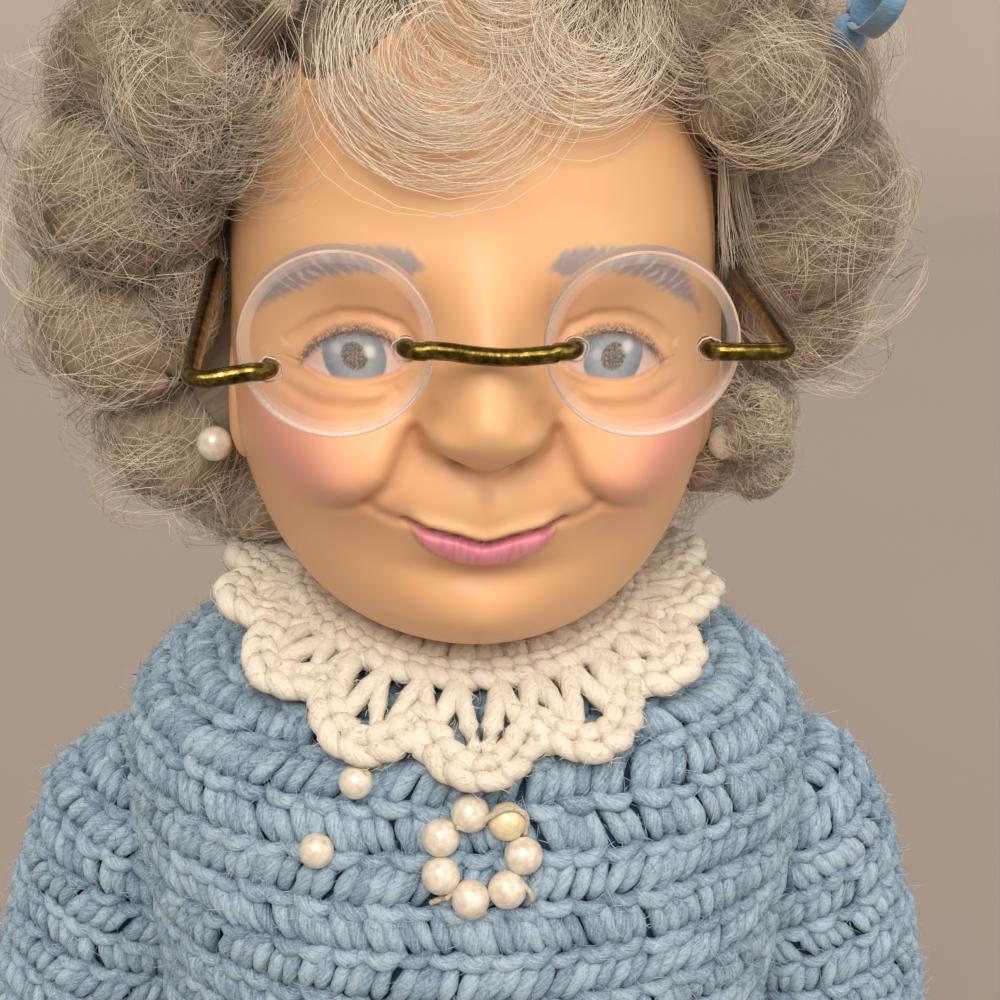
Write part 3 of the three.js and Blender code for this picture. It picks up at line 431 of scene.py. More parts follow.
def roll_material():
    s = Shader("combed_hair", Roughness=0.75, Specular_IOR_Level=0.25)
    comb = s.noise(1.0, 6, at=s.value("strand", "Vector"), roughness=0.72)
    shade = s.math("ADD", s.math("MULTIPLY", comb, 0.9), s.value("tone"))
    stops = (0.25, colour(112, 94, 76)), (0.55, colour(162, 143, 123)), (0.85, colour(206, 189, 169))
    s.set("Base Color", s.ramp(shade, *stops))
    s.bump(comb, 0.8, 0.6)
    return s.material


def satin_material():
    s = Shader("blue_satin", Roughness=0.32, Specular_IOR_Level=0.5, Sheen_Weight=0.4, Anisotropic=0.5)
    weave = s.noise(3.5, 2, at=s.place((0.15, 2.0, 1.2)))
    s.set("Base Color", s.ramp(weave, (0.3, colour(84, 122, 152)), (0.7, colour(118, 154, 182))))
    s.bump(weave, 0.2, 0.06)
    return s.material


VINYL = vinyl_material()
CHIPS = frost_material()
BLUE = yarn_material("blue_yarn", colour(42, 64, 92), colour(112, 137, 158), colour(184, 205, 220))
BLUE_SHADE = yarn_material("blue_yarn_shade", colour(50, 74, 100), colour(70, 98, 126), colour(96, 124, 150))
CREAM = yarn_material("cream_yarn", colour(180, 161, 134), colour(230, 217, 195), colour(246, 238, 224))
PEARLS = {
    "pearl": pearl_material("pearl", colour(230, 220, 204), colour(204, 187, 165)),
    "yellow_pearl": pearl_material("yellow_pearl", colour(236, 219, 180), colour(216, 191, 142)),
}

# Colours painted on the face
SKIN = linear(228, 178, 130)
# Painted shade: the browns for the creases and hollows of the face, the nostrils and the lid crease
SKIN_SHADE = linear(176, 118, 82)
BLUSH = linear(238, 160, 150)
NOSTRIL_SHADE = linear(120, 70, 48)
LID_SHADE = linear(160, 104, 76)
BROW_GREY = linear(146, 138, 142)
BROW_PALE = linear(204, 196, 194)
EYE_WHITE = linear(210, 186, 172)
EYE_CORNER = linear(210, 158, 146)
EYE_SHADE = linear(168, 150, 146)
IRIS_PALE = linear(152, 160, 164)
IRIS_DEEP = linear(112, 121, 136)
PUPIL_DARK = linear(92, 84, 82)
PUPIL_DOTS = linear(150, 142, 138)
GLINT = linear(236, 236, 234)
LASH = linear(98, 86, 88)
LOWER_LID = linear(186, 132, 116)
LIP_PINK = linear(236, 150, 166)
LIP_STREAK = linear(208, 116, 138)
UPPER_LIP = linear(196, 128, 118)
MOUTH_LINE = linear(138, 76, 88)
FINGER_BLUSH = linear(222, 140, 124)

# Face: its forms and its paint, over the place across and the height above the chin
CROWN_SQUARE = 2.15
JAW_SQUARE = 3
EYE_X = 17.7
EYE_H = 50.0
EYE_INNER = -7.2
EYE_OUTER = 6.8
IRIS_RADIUS = 4.25
PUPIL_RADIUS = 1.75
NOSE_H = 44
FOLD = [(8.8, 43.0), (10.0, 40.0), (11.3, 37.0), (13.0, 33.4), (16.4, 30.2), (21.0, 27.8), (26.0, 25.6)]
SMILE = [(9.0, 27.6), (11.6, 27.9), (14.4, 29.0), (16.0, 30.2)]
MOUTH = [(-11.0, 28.2), (-8.6, 27.4), (-6.0, 27.0), (-3.6, 26.6), (-1.6, 25.9), (0, 25.5)]
MOUTH += [(-x, h) for x, h in MOUTH[-2::-1]]
LID_CREASE = [(9.8, 52.6), (11.6, 54.8), (15.2, 55.9), (19.5, 55.3), (23.2, 53.2), (26.6, 50.0)]
BAG = [(12.2, 46.0), (15.0, 44.4), (18.5, 43.7), (22.5, 43.6), (27.0, 44.2)]
BROW = [(9.0, 63.0), (13.2, 63.7), (17.6, 63.2), (22.6, 61.2), (26.8, 57.9), (29.8, 54.2), (31.0, 52.2)]
WING_CREASE = [(7.2, 45.2), (9.2, 43.2), (9.5, 40.6), (8.6, 38.2)]

# Mounds and hollows on both sides of the face: rise, middle and spread across, middle and spread up
FACE_FORMS = [
    (5.4, 0, 5.6, 54.5, 7.5),  # bridge of the nose
    (-2.4, 17.4, 8.2, 51.5, 6.0),  # eye socket
    (-1.0, 9.2, 3.0, 55.5, 4.0),  # inner corner of the socket
    (1.7, 17.7, 6.4, 50.2, 3.9),  # eyeball
    (1.5, 17.4, 9.5, 63.0, 4.0),  # brow
    (6.8, 21.5, 10.0, 35.0, 8.2),  # cheek
    (5.0, 0, 12.5, 30.0, 7.0),  # mouth
    (4.4, 0, 10.5, 11.8, 6.5),  # chin
    (-1.5, 0, 9.0, 19.6, 2.2),  # hollow under the lip
    (-0.9, 3.6, 1.7, 36.9, 0.9),  # nostril
    (-0.55, 0, 1.2, 32.4, 2.4),  # groove over the lip
    (0.35, 18.5, 6, 45.4, 1.0),  # bag under the eye
]
# Creases of the face: line, depth and half the width
FACE_CREASES = [
    (MOUTH, 1.0, 0.55), (SMILE, 0.6, 0.9), (WING_CREASE, 0.8, 0.9),
    (LID_CREASE, 0.5, 0.7), (BAG, 0.35, 0.8),
]


def eye_edges(u):
    """Upper and lower lid lines of an eye at a place from its middle, towards the outer corner."""
    share = np.clip((u - EYE_INNER) / (EYE_OUTER - EYE_INNER), 0, 1)
    level = 0.2 - 2.2 * share
    arch = (4 * share * (1 - share)) ** 0.75
    return level + 4.0 * arch, level - 1.9 * arch


def lower_lip_edge(x):
    return 27.9 - 7.0 * np.sqrt(np.clip(1 - (x / 10.4) ** 2, 0, 1)) ** 1.25


def level_of(line, x):
    """Height of a line on the face at a place across."""
    return np.interp(x, *np.transpose(line))


def spot(a, h, middle, spread, level, height):
    """A soft place on the face, 1 at its middle."""
    return bell(a, middle, spread) * bell(h, level, height)


def nose_relief(a, h):
    under = 35.6 + 0.075 * a**2
    above = np.exp(-(np.abs((h - NOSE_H) / 7.4) ** 1.9))
    below = 1 - np.clip((NOSE_H - h) / (NOSE_H - np.minimum(under, 41)), 0, 1) ** 2.2
    tip = 12.6 * np.exp(-(np.abs(a / 6.5) ** 2.8)) * np.where(h > NOSE_H, above, below)
    wings = 4.6 * bell(a, 6.7, 2.9) * np.exp(-(np.abs((h - 41.4) / 3.2) ** 2.2))
    return tip + wings


def lip_relief(a, h):
    top = level_of(MOUTH, a)
    low = lower_lip_edge(a)
    share = np.clip((h - low) / np.maximum(top - low, 0.3), 0, 1)
    lower = np.sqrt(np.clip(4 * share * (1 - share), 0, 1)) * ((h > low) & (h < top))
    upper = bell(h, top + 1.1, 1.2) * np.where(h > top, 1, bell(h, top, 0.4))
    return smooth(10.8 - a, 0, 3.0) * (2.1 * lower + 1.2 * upper)


def lid_relief(a, h):
    u = a - EYE_X
    v = h - EYE_H
    upper, lower = eye_edges(u)
    upper_lid = smooth(v - upper, -0.15, 0.35) * bell(v - upper, 0.4, 1.8)
    lower_lid = bell(v - lower, -0.5, 0.7)
    return smooth(9.2 - np.abs(u - 0.6), 0, 2.5) * (0.55 * upper_lid + 0.3 * lower_lid)


def face_relief(x, h):
    """How far the face stands out of the plain head."""
    a = np.abs(x)
    relief = nose_relief(a, h) + lip_relief(a, h) + lid_relief(a, h)
    for rise, *place in FACE_FORMS:
        relief = relief + rise * spot(a, h, *place)
    for line, depth, width in FACE_CREASES:
        off, _ = distance_to(a, h, line)
        relief = relief - depth * bell(off, 0, width)
    fold, along = distance_to(a, h, FOLD)
    ends = smooth(along, 0, 0.1) * smooth(1 - along, 0, 0.35)
    swell = bell(fold, 3.4, 2.6) * (h > level_of(FOLD, a))
    return relief + ends * (swell - 0.95 * bell(fold, 0, 1.1))


def cheek_fullness(h):
    """How much wider the head is at the cheeks."""
    return 1 + 0.022 * bell(h, 31, 13)


def head_points(polar, angle):
    """The outside of the head at angles from the crown and round the neck."""
    level = np.cos(polar)
    across = np.cos(angle) * np.sin(polar)
    back = np.sin(angle) * np.sin(polar)
    forward = np.maximum(0, -np.sin(angle)) ** 2
    square = np.where(level < 0, JAW_SQUARE + forward, CROWN_SQUARE)
    reach = (np.hypot(across, back) ** square + np.abs(level) ** square) ** (-1 / square)
    z = np.where(level < 0, JAW_HEIGHT, CROWN_RISE) * reach * level
    x = HEAD_HALF_WIDTH * reach * across * cheek_fullness(z + JAW_HEIGHT)
    y = np.where(back < 0, FACE_DEPTH, HEAD_BACK) * reach * back
    y = y - smooth(-y / FACE_DEPTH, 0.25, 0.6) * face_relief(x, z + JAW_HEIGHT)
    return np.stack([x, y, z + HEAD_MIDDLE_Z], -1)


def face_points(x, h, lift=0.0):
    """The front of the head at places across it and heights above the chin."""
    z = h - JAW_HEIGHT
    across = np.abs(x) / HEAD_HALF_WIDTH / cheek_fullness(h)
    level = np.abs(np.where(z < 0, z / JAW_HEIGHT, z / CROWN_RISE))
    low = np.zeros_like(across)
    high = np.full_like(across, 1.2)
    for _ in range(36):
        deep = (low + high) / 2
        square = np.where(z < 0, JAW_SQUARE + deep**2 / (across**2 + deep**2 + 1e-12), CROWN_SQUARE)
        within = np.hypot(across, deep) ** square + level**square < 1
        low = np.where(within, deep, low)
        high = np.where(within, high, deep)
    y = -FACE_DEPTH * deep - smooth(deep, 0.25, 0.6) * face_relief(x, h) - lift
    return np.stack([x, y, z + HEAD_MIDDLE_Z], -1)


def out_of_head(at):
    """The way out of the head at a place on it."""
    return unit((at - [0, 0, HEAD_MIDDLE_Z]) / np.array([HEAD_HALF_WIDTH, FACE_DEPTH, CROWN_RISE]) ** 2)


def blend_paint(base, shade, share):
    share = np.clip(share, 0, 1)[..., None]
    return base * (1 - share) + shade * share


def face_paint(x, h):
    """The painted colour of the face, with painted shade in its creases and hollows."""
    a = np.abs(x)
    blush = 0.62 * spot(a, h, 28.0, 7.0, 36.0, 7.0) + 0.28 * spot(a, h, 21, 9, 32, 9)
    paint = blend_paint(SKIN, BLUSH, blush * (0.85 + 0.3 * noise(x / 1.3, h / 1.3, 3)))
    fold, along = distance_to(a, h, FOLD)
    fold_ends = smooth(along, 0, 0.1) * smooth(1 - along, 0, 0.4)
    smile, _ = distance_to(a, h, SMILE)
    wing, _ = distance_to(a, h, WING_CREASE)
    crease, crease_run = distance_to(a, h, LID_CREASE)
    bag, bag_run = distance_to(a, h, BAG)
    bag_ends = smooth(bag_run, 0, 0.2) * smooth(1 - bag_run, 0, 0.3)
    # Brown painted shade in creases and hollows, over the doll's own painted lines by the nose
    painted_shades = [
        (SKIN_SHADE, fold_ends * (0.36 * bell(fold, 0, 1.0) + 0.15 * bell(fold, 0, 3.2))),
        (SKIN_SHADE, 0.4 * bell(smile, 0, 0.7)),
        (SKIN_SHADE, 0.45 * bell(wing, 0, 1.3)),
        (NOSTRIL_SHADE, 0.5 * spot(a, h, 3.6, 1.6, 36.8, 0.6)),
        (SKIN_SHADE, 0.3 * spot(a, h, 17, 11, 57.5, 3.0) + 0.45 * spot(a, h, 9.0, 2.6, 54, 5)),
        (SKIN_SHADE, 0.45 * spot(a, h, 0, 8, 19.8, 1.7) + 0.4 * spot(a, h, 0, 1.1, 32, 2.0)),
        (SKIN_SHADE, 0.22 * spot(a, h, 19, 8, 42.6, 4.0)),
        (LID_SHADE, 0.32 * bell(crease, 0, 0.95) * smooth(1 - crease_run, 0, 0.25)),
        (SKIN_SHADE, 0.5 * bell(bag, 0, 0.6) * bag_ends),
    ]
    for shade, share in painted_shades:
        paint = blend_paint(paint, shade, share)
    paint = paint_brows(paint, x, h)
    paint = paint_eyes(paint, x, h)
    return paint_lips(paint, x, h)


def paint_brows(paint, x, h):
    a = np.abs(x)
    off, along = distance_to(a, h, BROW)
    side = np.where(h > level_of(BROW, a), off, -off)
    thick = 1.75 * smooth(along, -0.06, 0.07) * smooth(1 - along, -0.02, 0.3)
    ragged = 0.45 * (noise(along * 50, side * 1.2, 1) - 0.5)
    cover = smooth(thick + ragged - off, -0.6, 0.75)
    stroke = np.sin(2 * np.pi * (along * 17 - side * 0.42 + 1.1 * noise(along * 9, side * 0.7, 2)))
    fine = noise(along * 90 - side * 2.0, side * 1.3, 4)
    ends = smooth(along, 0.12, 0.4) * smooth(1 - along, 0.05, 0.35)
    pale = smooth(0.7 * stroke + 1.3 * fine - 0.6, 0.0, 1.3) * ends
    grey = blend_paint(BROW_GREY, BROW_PALE, 0.7 * pale + 0.25 * (fine - 0.5))
    return blend_paint(paint, grey, 0.88 * cover)


def paint_eyes(paint, x, h):
    u = np.abs(x) - EYE_X
    v = h - EYE_H
    upper, lower = eye_edges(u)
    inside = smooth(np.minimum(upper - v, v - lower), -0.12, 0.12) * ((u > EYE_INNER) & (u < EYE_OUTER))
    white = blend_paint(EYE_WHITE, EYE_CORNER, bell(u, EYE_INNER, 1.8) + 0.6 * bell(u, EYE_OUTER, 1.8))
    white = blend_paint(white, EYE_SHADE, 0.75 * bell(v, upper, 1.3))
    paint = blend_paint(paint, white, inside)
    reach = np.hypot(u, v)
    swirl = noise(np.arctan2(v, u) * 9, reach * 0.9, 6)
    deep = smooth(reach, 2.0, 4.4) * 0.75 + 0.35 * (swirl - 0.5) + 0.25 * bell(v, -3, 2)
    iris = blend_paint(IRIS_PALE, IRIS_DEEP, deep)
    paint = blend_paint(paint, iris, inside * smooth(IRIS_RADIUS - reach, -0.15, 0.15))
    pupil = blend_paint(PUPIL_DARK, PUPIL_DOTS, smooth(noise(x * 7.5, h * 7.5, 7), 0.45, 0.8))
    paint = blend_paint(paint, pupil, inside * smooth(PUPIL_RADIUS - reach, -0.12, 0.12))
    for glint_x, glint_v, size, share in ((2.0, 0.9, 0.75, 0.62), (-2.4, 0.6, 0.7, 0.25)):
        glint = smooth(size - np.hypot(x - np.sign(x) * EYE_X - glint_x, v - glint_v), -0.45, 0.5)
        paint = blend_paint(paint, GLINT, share * glint * inside)
    lash = smooth(1.0 - np.abs(v - upper - 0.3), -0.5, 0.6) * smooth(u, -7.6, -6.4) * smooth(8.0 - u, 0, 1.2)
    speckle = smooth(noise(x * 5.5, h * 5.5, 8) + 0.5 * noise(x * 11, h * 11, 9), 0.5, 0.95)
    paint = blend_paint(paint, LASH, lash * (0.3 + 0.62 * speckle))
    under = smooth(0.22 - np.abs(v - lower + 0.1), -0.25, 0.2) * ((u > -6.2) & (u < 6.6))
    return blend_paint(paint, LOWER_LID, 0.55 * under)


def paint_lips(paint, x, h):
    a = np.abs(x)
    top = level_of(MOUTH, x)
    low = lower_lip_edge(x)
    ends = smooth(10.6 - a, 0, 2.2)
    lower = ends * smooth(np.minimum(top - h, h - low), -0.35, 0.45)
    streak = noise(x * 2.6, h * 0.35, 10)
    pink = blend_paint(LIP_PINK, LIP_STREAK, 0.5 * smooth(streak, 0.45, 0.85) + 0.7 * bell(h, top, 1.1))
    paint = blend_paint(paint, pink, 0.95 * lower)
    upper = ends * smooth(h - top, -0.1, 0.25) * smooth(top + 1.25 * smooth(9.5 - a, 0, 5) - h, -0.35, 0.5)
    paint = blend_paint(paint, UPPER_LIP, 0.5 * upper)
    lips, _ = distance_to(x, h, MOUTH)
    return blend_paint(paint, MOUTH_LINE, 0.62 * bell(lips, 0, 0.4))


# Neck under the chin, as radius and height
NECK_PROFILE = [
    (NECK_RADIUS + 0.6, CHIN_Z - 0.4), (NECK_RADIUS, CHIN_Z - 1.6), (NECK_RADIUS, 250.7),
    (17.5, 250.7), (17.5, 247.7), (10, 247.7),
]
# Finely painted parts: first and last place across, first and last height above the chin, and step
EYE_PATCH = (6.0, 33.4, 40.0, 67.5, 0.125)
LIP_PATCH = (-13.0, 13.0, 19.0, 31.5, 0.13)


def make_head():
    under = math.pi - math.asin((NECK_RADIUS + 3) / FACE_DEPTH)
    front = np.linspace(-0.5, math.pi + 0.5, 300, endpoint=False)
    back = np.linspace(math.pi + 0.5, 2 * math.pi - 0.5, 44, endpoint=False)
    circle = -np.concatenate([front, back])
    polar = np.concatenate([np.linspace(0.02, 0.85, 26, endpoint=False), np.linspace(0.85, under, 232)])
    points = head_points(*np.meshgrid(polar, circle, indexing="ij"))
    facing = smooth(-points[..., 1] / FACE_DEPTH, 0.0, 0.3)
    paint = blend_paint(SKIN, face_paint(points[..., 0], points[..., 2] - CHIN_Z), facing)
    neck = []
    for radius, z in NECK_PROFILE:
        neck.append(np.stack([radius * np.cos(circle), radius * np.sin(circle), np.full_like(circle, z)], -1))
    points = np.concatenate([points, neck])
    rows, columns, _ = points.shape
    paint = np.concatenate([paint.reshape(-1, 3), np.tile(SKIN, (len(NECK_PROFILE) * columns + 1, 1))])
    ring = np.arange(columns)
    crown = np.stack([np.full(columns, rows * columns), (ring + 1) % columns, ring], -1)
    bottom = (rows - 1) * columns + ring
    faces = [grid_faces(rows, columns, wrap=True), crown, bottom[None, ::-1]]
    points = np.concatenate([points.reshape(-1, 3), [[0, 0, HEAD_MIDDLE_Z + CROWN_RISE]]])
    mesh_piece("head", points, faces, VINYL, "head", "vinyl", ["head_shell"], paint=paint)
    inner, outer, *rest = EYE_PATCH
    for name, side in SIDES:
        face_patch(f"{name}_eye_paint", side * inner, side * outer, *rest)
    face_patch("lip_paint", *LIP_PATCH)


def face_patch(name, x0, x1, h0, h1, step):
    """A finely painted part of the face, laid on the vinyl as a printed film is."""
    x, h = np.meshgrid(np.arange(x0, x1, math.copysign(step, x1 - x0)), np.arange(h0, h1, step))
    rim = np.minimum(np.minimum(np.abs(x - x0), np.abs(x - x1)), np.minimum(h - h0, h1 - h))
    points = face_points(x, h, lift=lerp(-0.05, 0.03, smooth(rim, 0, 3.5)))
    faces = grid_faces(*x.shape)
    if x1 < x0:
        faces = faces[:, ::-1]
    mesh_piece(name, points, [faces], VINYL, "head", "vinyl", paint=face_paint(x, h).reshape(-1, 3))


EAR_X = 35.2
EAR_Y = -6
EAR_Z = 294.5
EAR_HALF_THICK = 2.9
EAR_HALF_DEPTH = 5.6
EAR_HALF_HEIGHT = 10.5
EAR_HOLLOW = 1.5


def make_ears():
    """Ears with a rim and a hollow, the hollow darkened with painted shade."""
    theta, phi = ball_grid(0, math.pi, 60, 72)
    up = np.cos(theta)
    across = np.sin(theta) * np.cos(phi)
    out = np.sin(theta) * np.sin(phi)
    hollow = EAR_HOLLOW * bell(np.hypot(across / 0.62, (up - 0.12) / 0.6), 0, 0.75) * (out > 0)
    x = EAR_X + EAR_HALF_THICK * out - hollow
    y = EAR_Y + EAR_HALF_DEPTH * across * (1 - 0.28 * np.clip(-up, 0, 1)) - 0.5 * up
    z = EAR_Z + EAR_HALF_HEIGHT * up
    faces = grid_faces(*theta.shape, wrap=True)
    paint = blend_paint(SKIN, SKIN_SHADE, 0.6 * hollow / EAR_HOLLOW).reshape(-1, 3)
    for name, side in SIDES:
        points = np.stack([side * x, y, z], -1)
        mesh_piece(f"{name}_ear", points, [faces[:, ::side]], VINYL, "head", "vinyl", paint=paint)


# Spectacles
LENS_X = 19.6
LENS_Z = 315.4
LENS_RADIUS = 12.6
LENS_MIDDLE_Y = -52.9
LENS_THICK = 3.3
LENS_DOME = 0.4
LENS_LEAN = math.radians(-4)
LENS_BAND = 1.5
LENS_CHAMFER = 0.3
HOLE_RADIUS = 1.34
HOLE_BACK = -48.0
HOLE_FRONT = -60.0
CHIP_SIDES = 48
BRIDGE_X = 10.9
HINGE_X = 28.1
TEMPLE_X = 38.3
TEMPLE_END_Y = -9.7
TEMPLE_Z = 316.0
WIRE_RADIUS = 1.2
WIRE_BEND = 2.4
WIRE_Y = -55.7
WIRE_Z = 314.9
WIRE_END_Y = -50.0
BEND_POINTS = 7
HINGE_DROP = {"left": 0.0, "right": 2.7}


def solid_of(name, points, faces):
    mesh = bpy.data.meshes.new(name)
    rows = [tuple(int(i) for i in face) for group in faces for face in group]
    mesh.from_pydata([tuple(p * MM) for p in points], [], rows)
    return linked(name, mesh)


def turned(profile, count):
    """Closed turned solid about the Y axis from (radius, y) pairs, the first and last on the axis."""
    angle = 2 * np.pi * np.arange(count) / count
    rings = []
    for radius, y in profile[1:-1]:
        rings.append(np.stack([radius * np.cos(angle), np.full(count, y), radius * np.sin(angle)], -1))
    points = np.concatenate([*rings, [[0, profile[0][1], 0], [0, profile[-1][1], 0]]])
    last = len(rings) * count
    around = np.arange(count)
    ahead = (around + 1) % count
    first = np.stack([np.full(count, last), around, ahead], -1)
    end = np.stack([np.full(count, last + 1), last - count + ahead, last - count + around], -1)
    return points, [grid_faces(len(rings), count, wrap=True)[:, ::-1], first, end]


def lens_points(points, side):
    """Points of a lens about its own middle, leant back and put in its place."""
    c = math.cos(LENS_LEAN)
    s = math.sin(LENS_LEAN)
    x, y, z = points.T
    return np.stack([x + side * LENS_X, y * c + z * s + LENS_MIDDLE_Y, z * c - y * s + LENS_Z], -1)


def make_lens(name, side, material):
    half = LENS_THICK / 2
    band = LENS_RADIUS - LENS_BAND
    face = LENS_RADIUS - LENS_CHAMFER
    profile = [(0, half), (band - 0.2, half), (band, half), (face, half)]
    profile += [(LENS_RADIUS, half - LENS_CHAMFER), (LENS_RADIUS, LENS_CHAMFER - half), (face, -half)]
    profile += [(LENS_RADIUS * s, -half - LENS_DOME * (1 - s * s)) for s in (0.95, 0.885, 0.87, 0.6, 0.3)]
    profile.append((0, -half - LENS_DOME))
    points, faces = turned(profile, 144)
    lens = solid_of(f"{name}_lens_disc", lens_points(points, side), faces)
    drill = [(0, HOLE_BACK), (HOLE_RADIUS, HOLE_BACK), (HOLE_RADIUS, HOLE_FRONT), (0, HOLE_FRONT)]
    for hole, x, z in (("bridge", BRIDGE_X, WIRE_Z), ("hinge", HINGE_X, WIRE_Z - HINGE_DROP[name])):
        points, faces = turned(drill, 40)
        cutter = solid_of("drill", points + [side * x, 0, z], faces)
        cut = lens.modifiers.new("hole", "BOOLEAN")
        cut.object = cutter
        cut.operation = "DIFFERENCE"
        cut.solver = "EXACT"
        settle(lens)
        bpy.data.objects.remove(cutter)
        chip_ring(f"{name}_lens_chips_{hole}", side * x, z)
    spots = np.array([v.co for v in lens.data.vertices]) / MM - [side * LENS_X, LENS_MIDDLE_Y, LENS_Z]
    rise = spots[:, 2] * math.cos(LENS_LEAN) + spots[:, 1] * math.sin(LENS_LEAN)
    reach = np.hypot(spots[:, 0], rise)
    keep_values(lens.data, edge=0.3 * smooth(reach, band - 0.15, band) + 0.7 * (reach > LENS_RADIUS - 0.1))
    lens.data.materials.clear()
    lens.data.materials.append(material)
    lens.data.shade_smooth()
    lens.data.set_sharp_from_angle(angle=math.radians(32))
    attach(lens, "spectacles", "clear_plastic", [f"{name}_lens"])


def chip_ring(name, x, z):
    """The rough pale rim that the drill left round a hole."""
    turn = 2 * np.pi * np.arange(CHIP_SIDES) / CHIP_SIDES
    rough = noise(turn * 3.0, np.full(CHIP_SIDES, x), 12)
    front = LENS_MIDDLE_Y - LENS_THICK / 2 - 0.42 + 0.1 * rough
    rings = []
    for out, lift in ((-0.12, 0.25), (0.0, 0.12), (0.1, 0.14), (0.18, 0.3)):
        reach = HOLE_RADIUS + 0.1 + 0.3 * rough + out
        rings.append(np.stack([x + reach * np.cos(turn), front + lift, z + reach * np.sin(turn)], -1))
    faces = grid_faces(len(rings) + 1, CHIP_SIDES, wrap=True) % (len(rings) * CHIP_SIDES)
    mesh_piece(name, np.stack(rings), [faces], CHIPS, "spectacles", "clear_plastic")


def corner(before, at, after):
    """Points of a bend from before to after round a corner."""
    t = np.linspace(0, 1, BEND_POINTS)[:, None]
    return (1 - t) ** 2 * np.array(before) + 2 * t * (1 - t) * np.array(at) + t**2 * np.array(after)


def wire_piece(name, path, node, material):
    radius = np.full(len(path), WIRE_RADIUS)
    radius[[0, -1]] = 0.5 * WIRE_RADIUS
    points, faces = tubes(path[None], radius, 20)
    mesh_piece(name, points, faces, material, "spectacles", "brass_wire", [node])


def hook(x, side, z):
    """Wire from behind a lens, forwards through its hole and round towards a side."""
    back = np.stack([np.full(6, x), np.linspace(WIRE_END_Y, WIRE_Y + WIRE_BEND, 6), np.full(6, z)], -1)
    bend = corner((x, WIRE_Y + WIRE_BEND, z), (x, WIRE_Y, z), (x + side * WIRE_BEND, WIRE_Y, z))
    return np.concatenate([back, bend[1:]])


def make_spectacles():
    clear = clear_material()
    brass = brass_material()
    share = np.linspace(0, 1, 30)
    for name, side in SIDES:
        make_lens(name, side, clear)
        z = WIRE_Z - HINGE_DROP[name]
        low = z - 0.35 * HINGE_DROP[name]
        before = (side * (TEMPLE_X - WIRE_BEND), WIRE_Y, low)
        after = (side * TEMPLE_X, WIRE_Y + WIRE_BEND, low + 0.1)
        bend = corner(before, (side * TEMPLE_X, WIRE_Y, low), after)
        wave = 0.25 * np.sin(7 * share) * share * (1 - share)
        x = side * (TEMPLE_X + wave)
        back = np.stack([x, lerp(after[1], TEMPLE_END_Y, share), lerp(after[2], TEMPLE_Z, share)], -1)
        path = np.concatenate([hook(side * HINGE_X, side, z), bend, back[1:]])
        wire_piece(f"{name}_temple", path, f"{name}_temple_wire", brass)
    near = BRIDGE_X - WIRE_BEND
    bows = [(-near, 0.2), (-5.4, 0.0), (-2.2, -0.45), (1.6, -0.75), (5.2, -0.6), (near, -0.25)]
    across = curve_through([(x, WIRE_Y, WIRE_Z + rise) for x, rise in bows], 40)
    path = np.concatenate([hook(-BRIDGE_X, 1, WIRE_Z), across[1:-1], hook(BRIDGE_X, -1, WIRE_Z)[::-1]])
    wire_piece("bridge", path, "bridge_wire", brass)


# Yarn and crochet
YARN_RADIUS = 1.36
STITCH_STEPS = 7
STITCH_TIME = np.linspace(0, 1, STITCH_STEPS)
STITCH_ARCH = np.sin(np.pi * STITCH_TIME)
CORE_INSET = 0.9
FIBRE_RADIUS = 0.065
FLOOR_ROOM = 0.2


def yarn(paths, radii, outward, rng, sides, height=0.0):
    """Plied yarn along paths: points, faces and the values that its material reads."""
    paths = np.asarray(paths, float)
    count, steps, _ = paths.shape
    radii = radii * (1 + 0.06 * rng.normal(size=(count, steps)))
    phase = 6 * rng.random((count, 1))
    points, faces = tubes(paths, radii, sides, lobes=3, lobe=0.075, twist=0.5, phase=phase)
    run = run_along(paths) + 40 * rng.random((count, 1))
    around = 2 * np.pi * np.arange(sides) / sides
    shape = (count, steps, sides)
    strand = (4.6 * np.cos(around), 4.6 * np.sin(around), 0.55 * run[:, :, None])
    off = points.reshape(*shape, 3) - paths[:, :, None]
    rise = np.sum(off * outward[:, None, None], -1) + np.broadcast_to(height, (count, steps))[:, :, None]
    values = {
        "strand": np.stack([np.broadcast_to(v, shape) for v in strand], -1).reshape(-1, 3),
        # Height of the yarn over the worked surface, which the material turns into painted shade
        "height": np.clip((rise.reshape(-1) + 0.9) / 2.9, 0, 1),
        "tone": per_point(rng.random(count) - 0.5, steps, sides),
    }
    return points, faces, values


def yarn_piece(name, batches, material, body, slot, replaces=()):
    points, faces = joined([(p, f) for p, f, _ in batches])
    values = {key: np.concatenate([v[key] for _, _, v in batches]) for key in batches[0][2]}
    mesh_piece(name, points, faces, material, body, slot, replaces, **values)


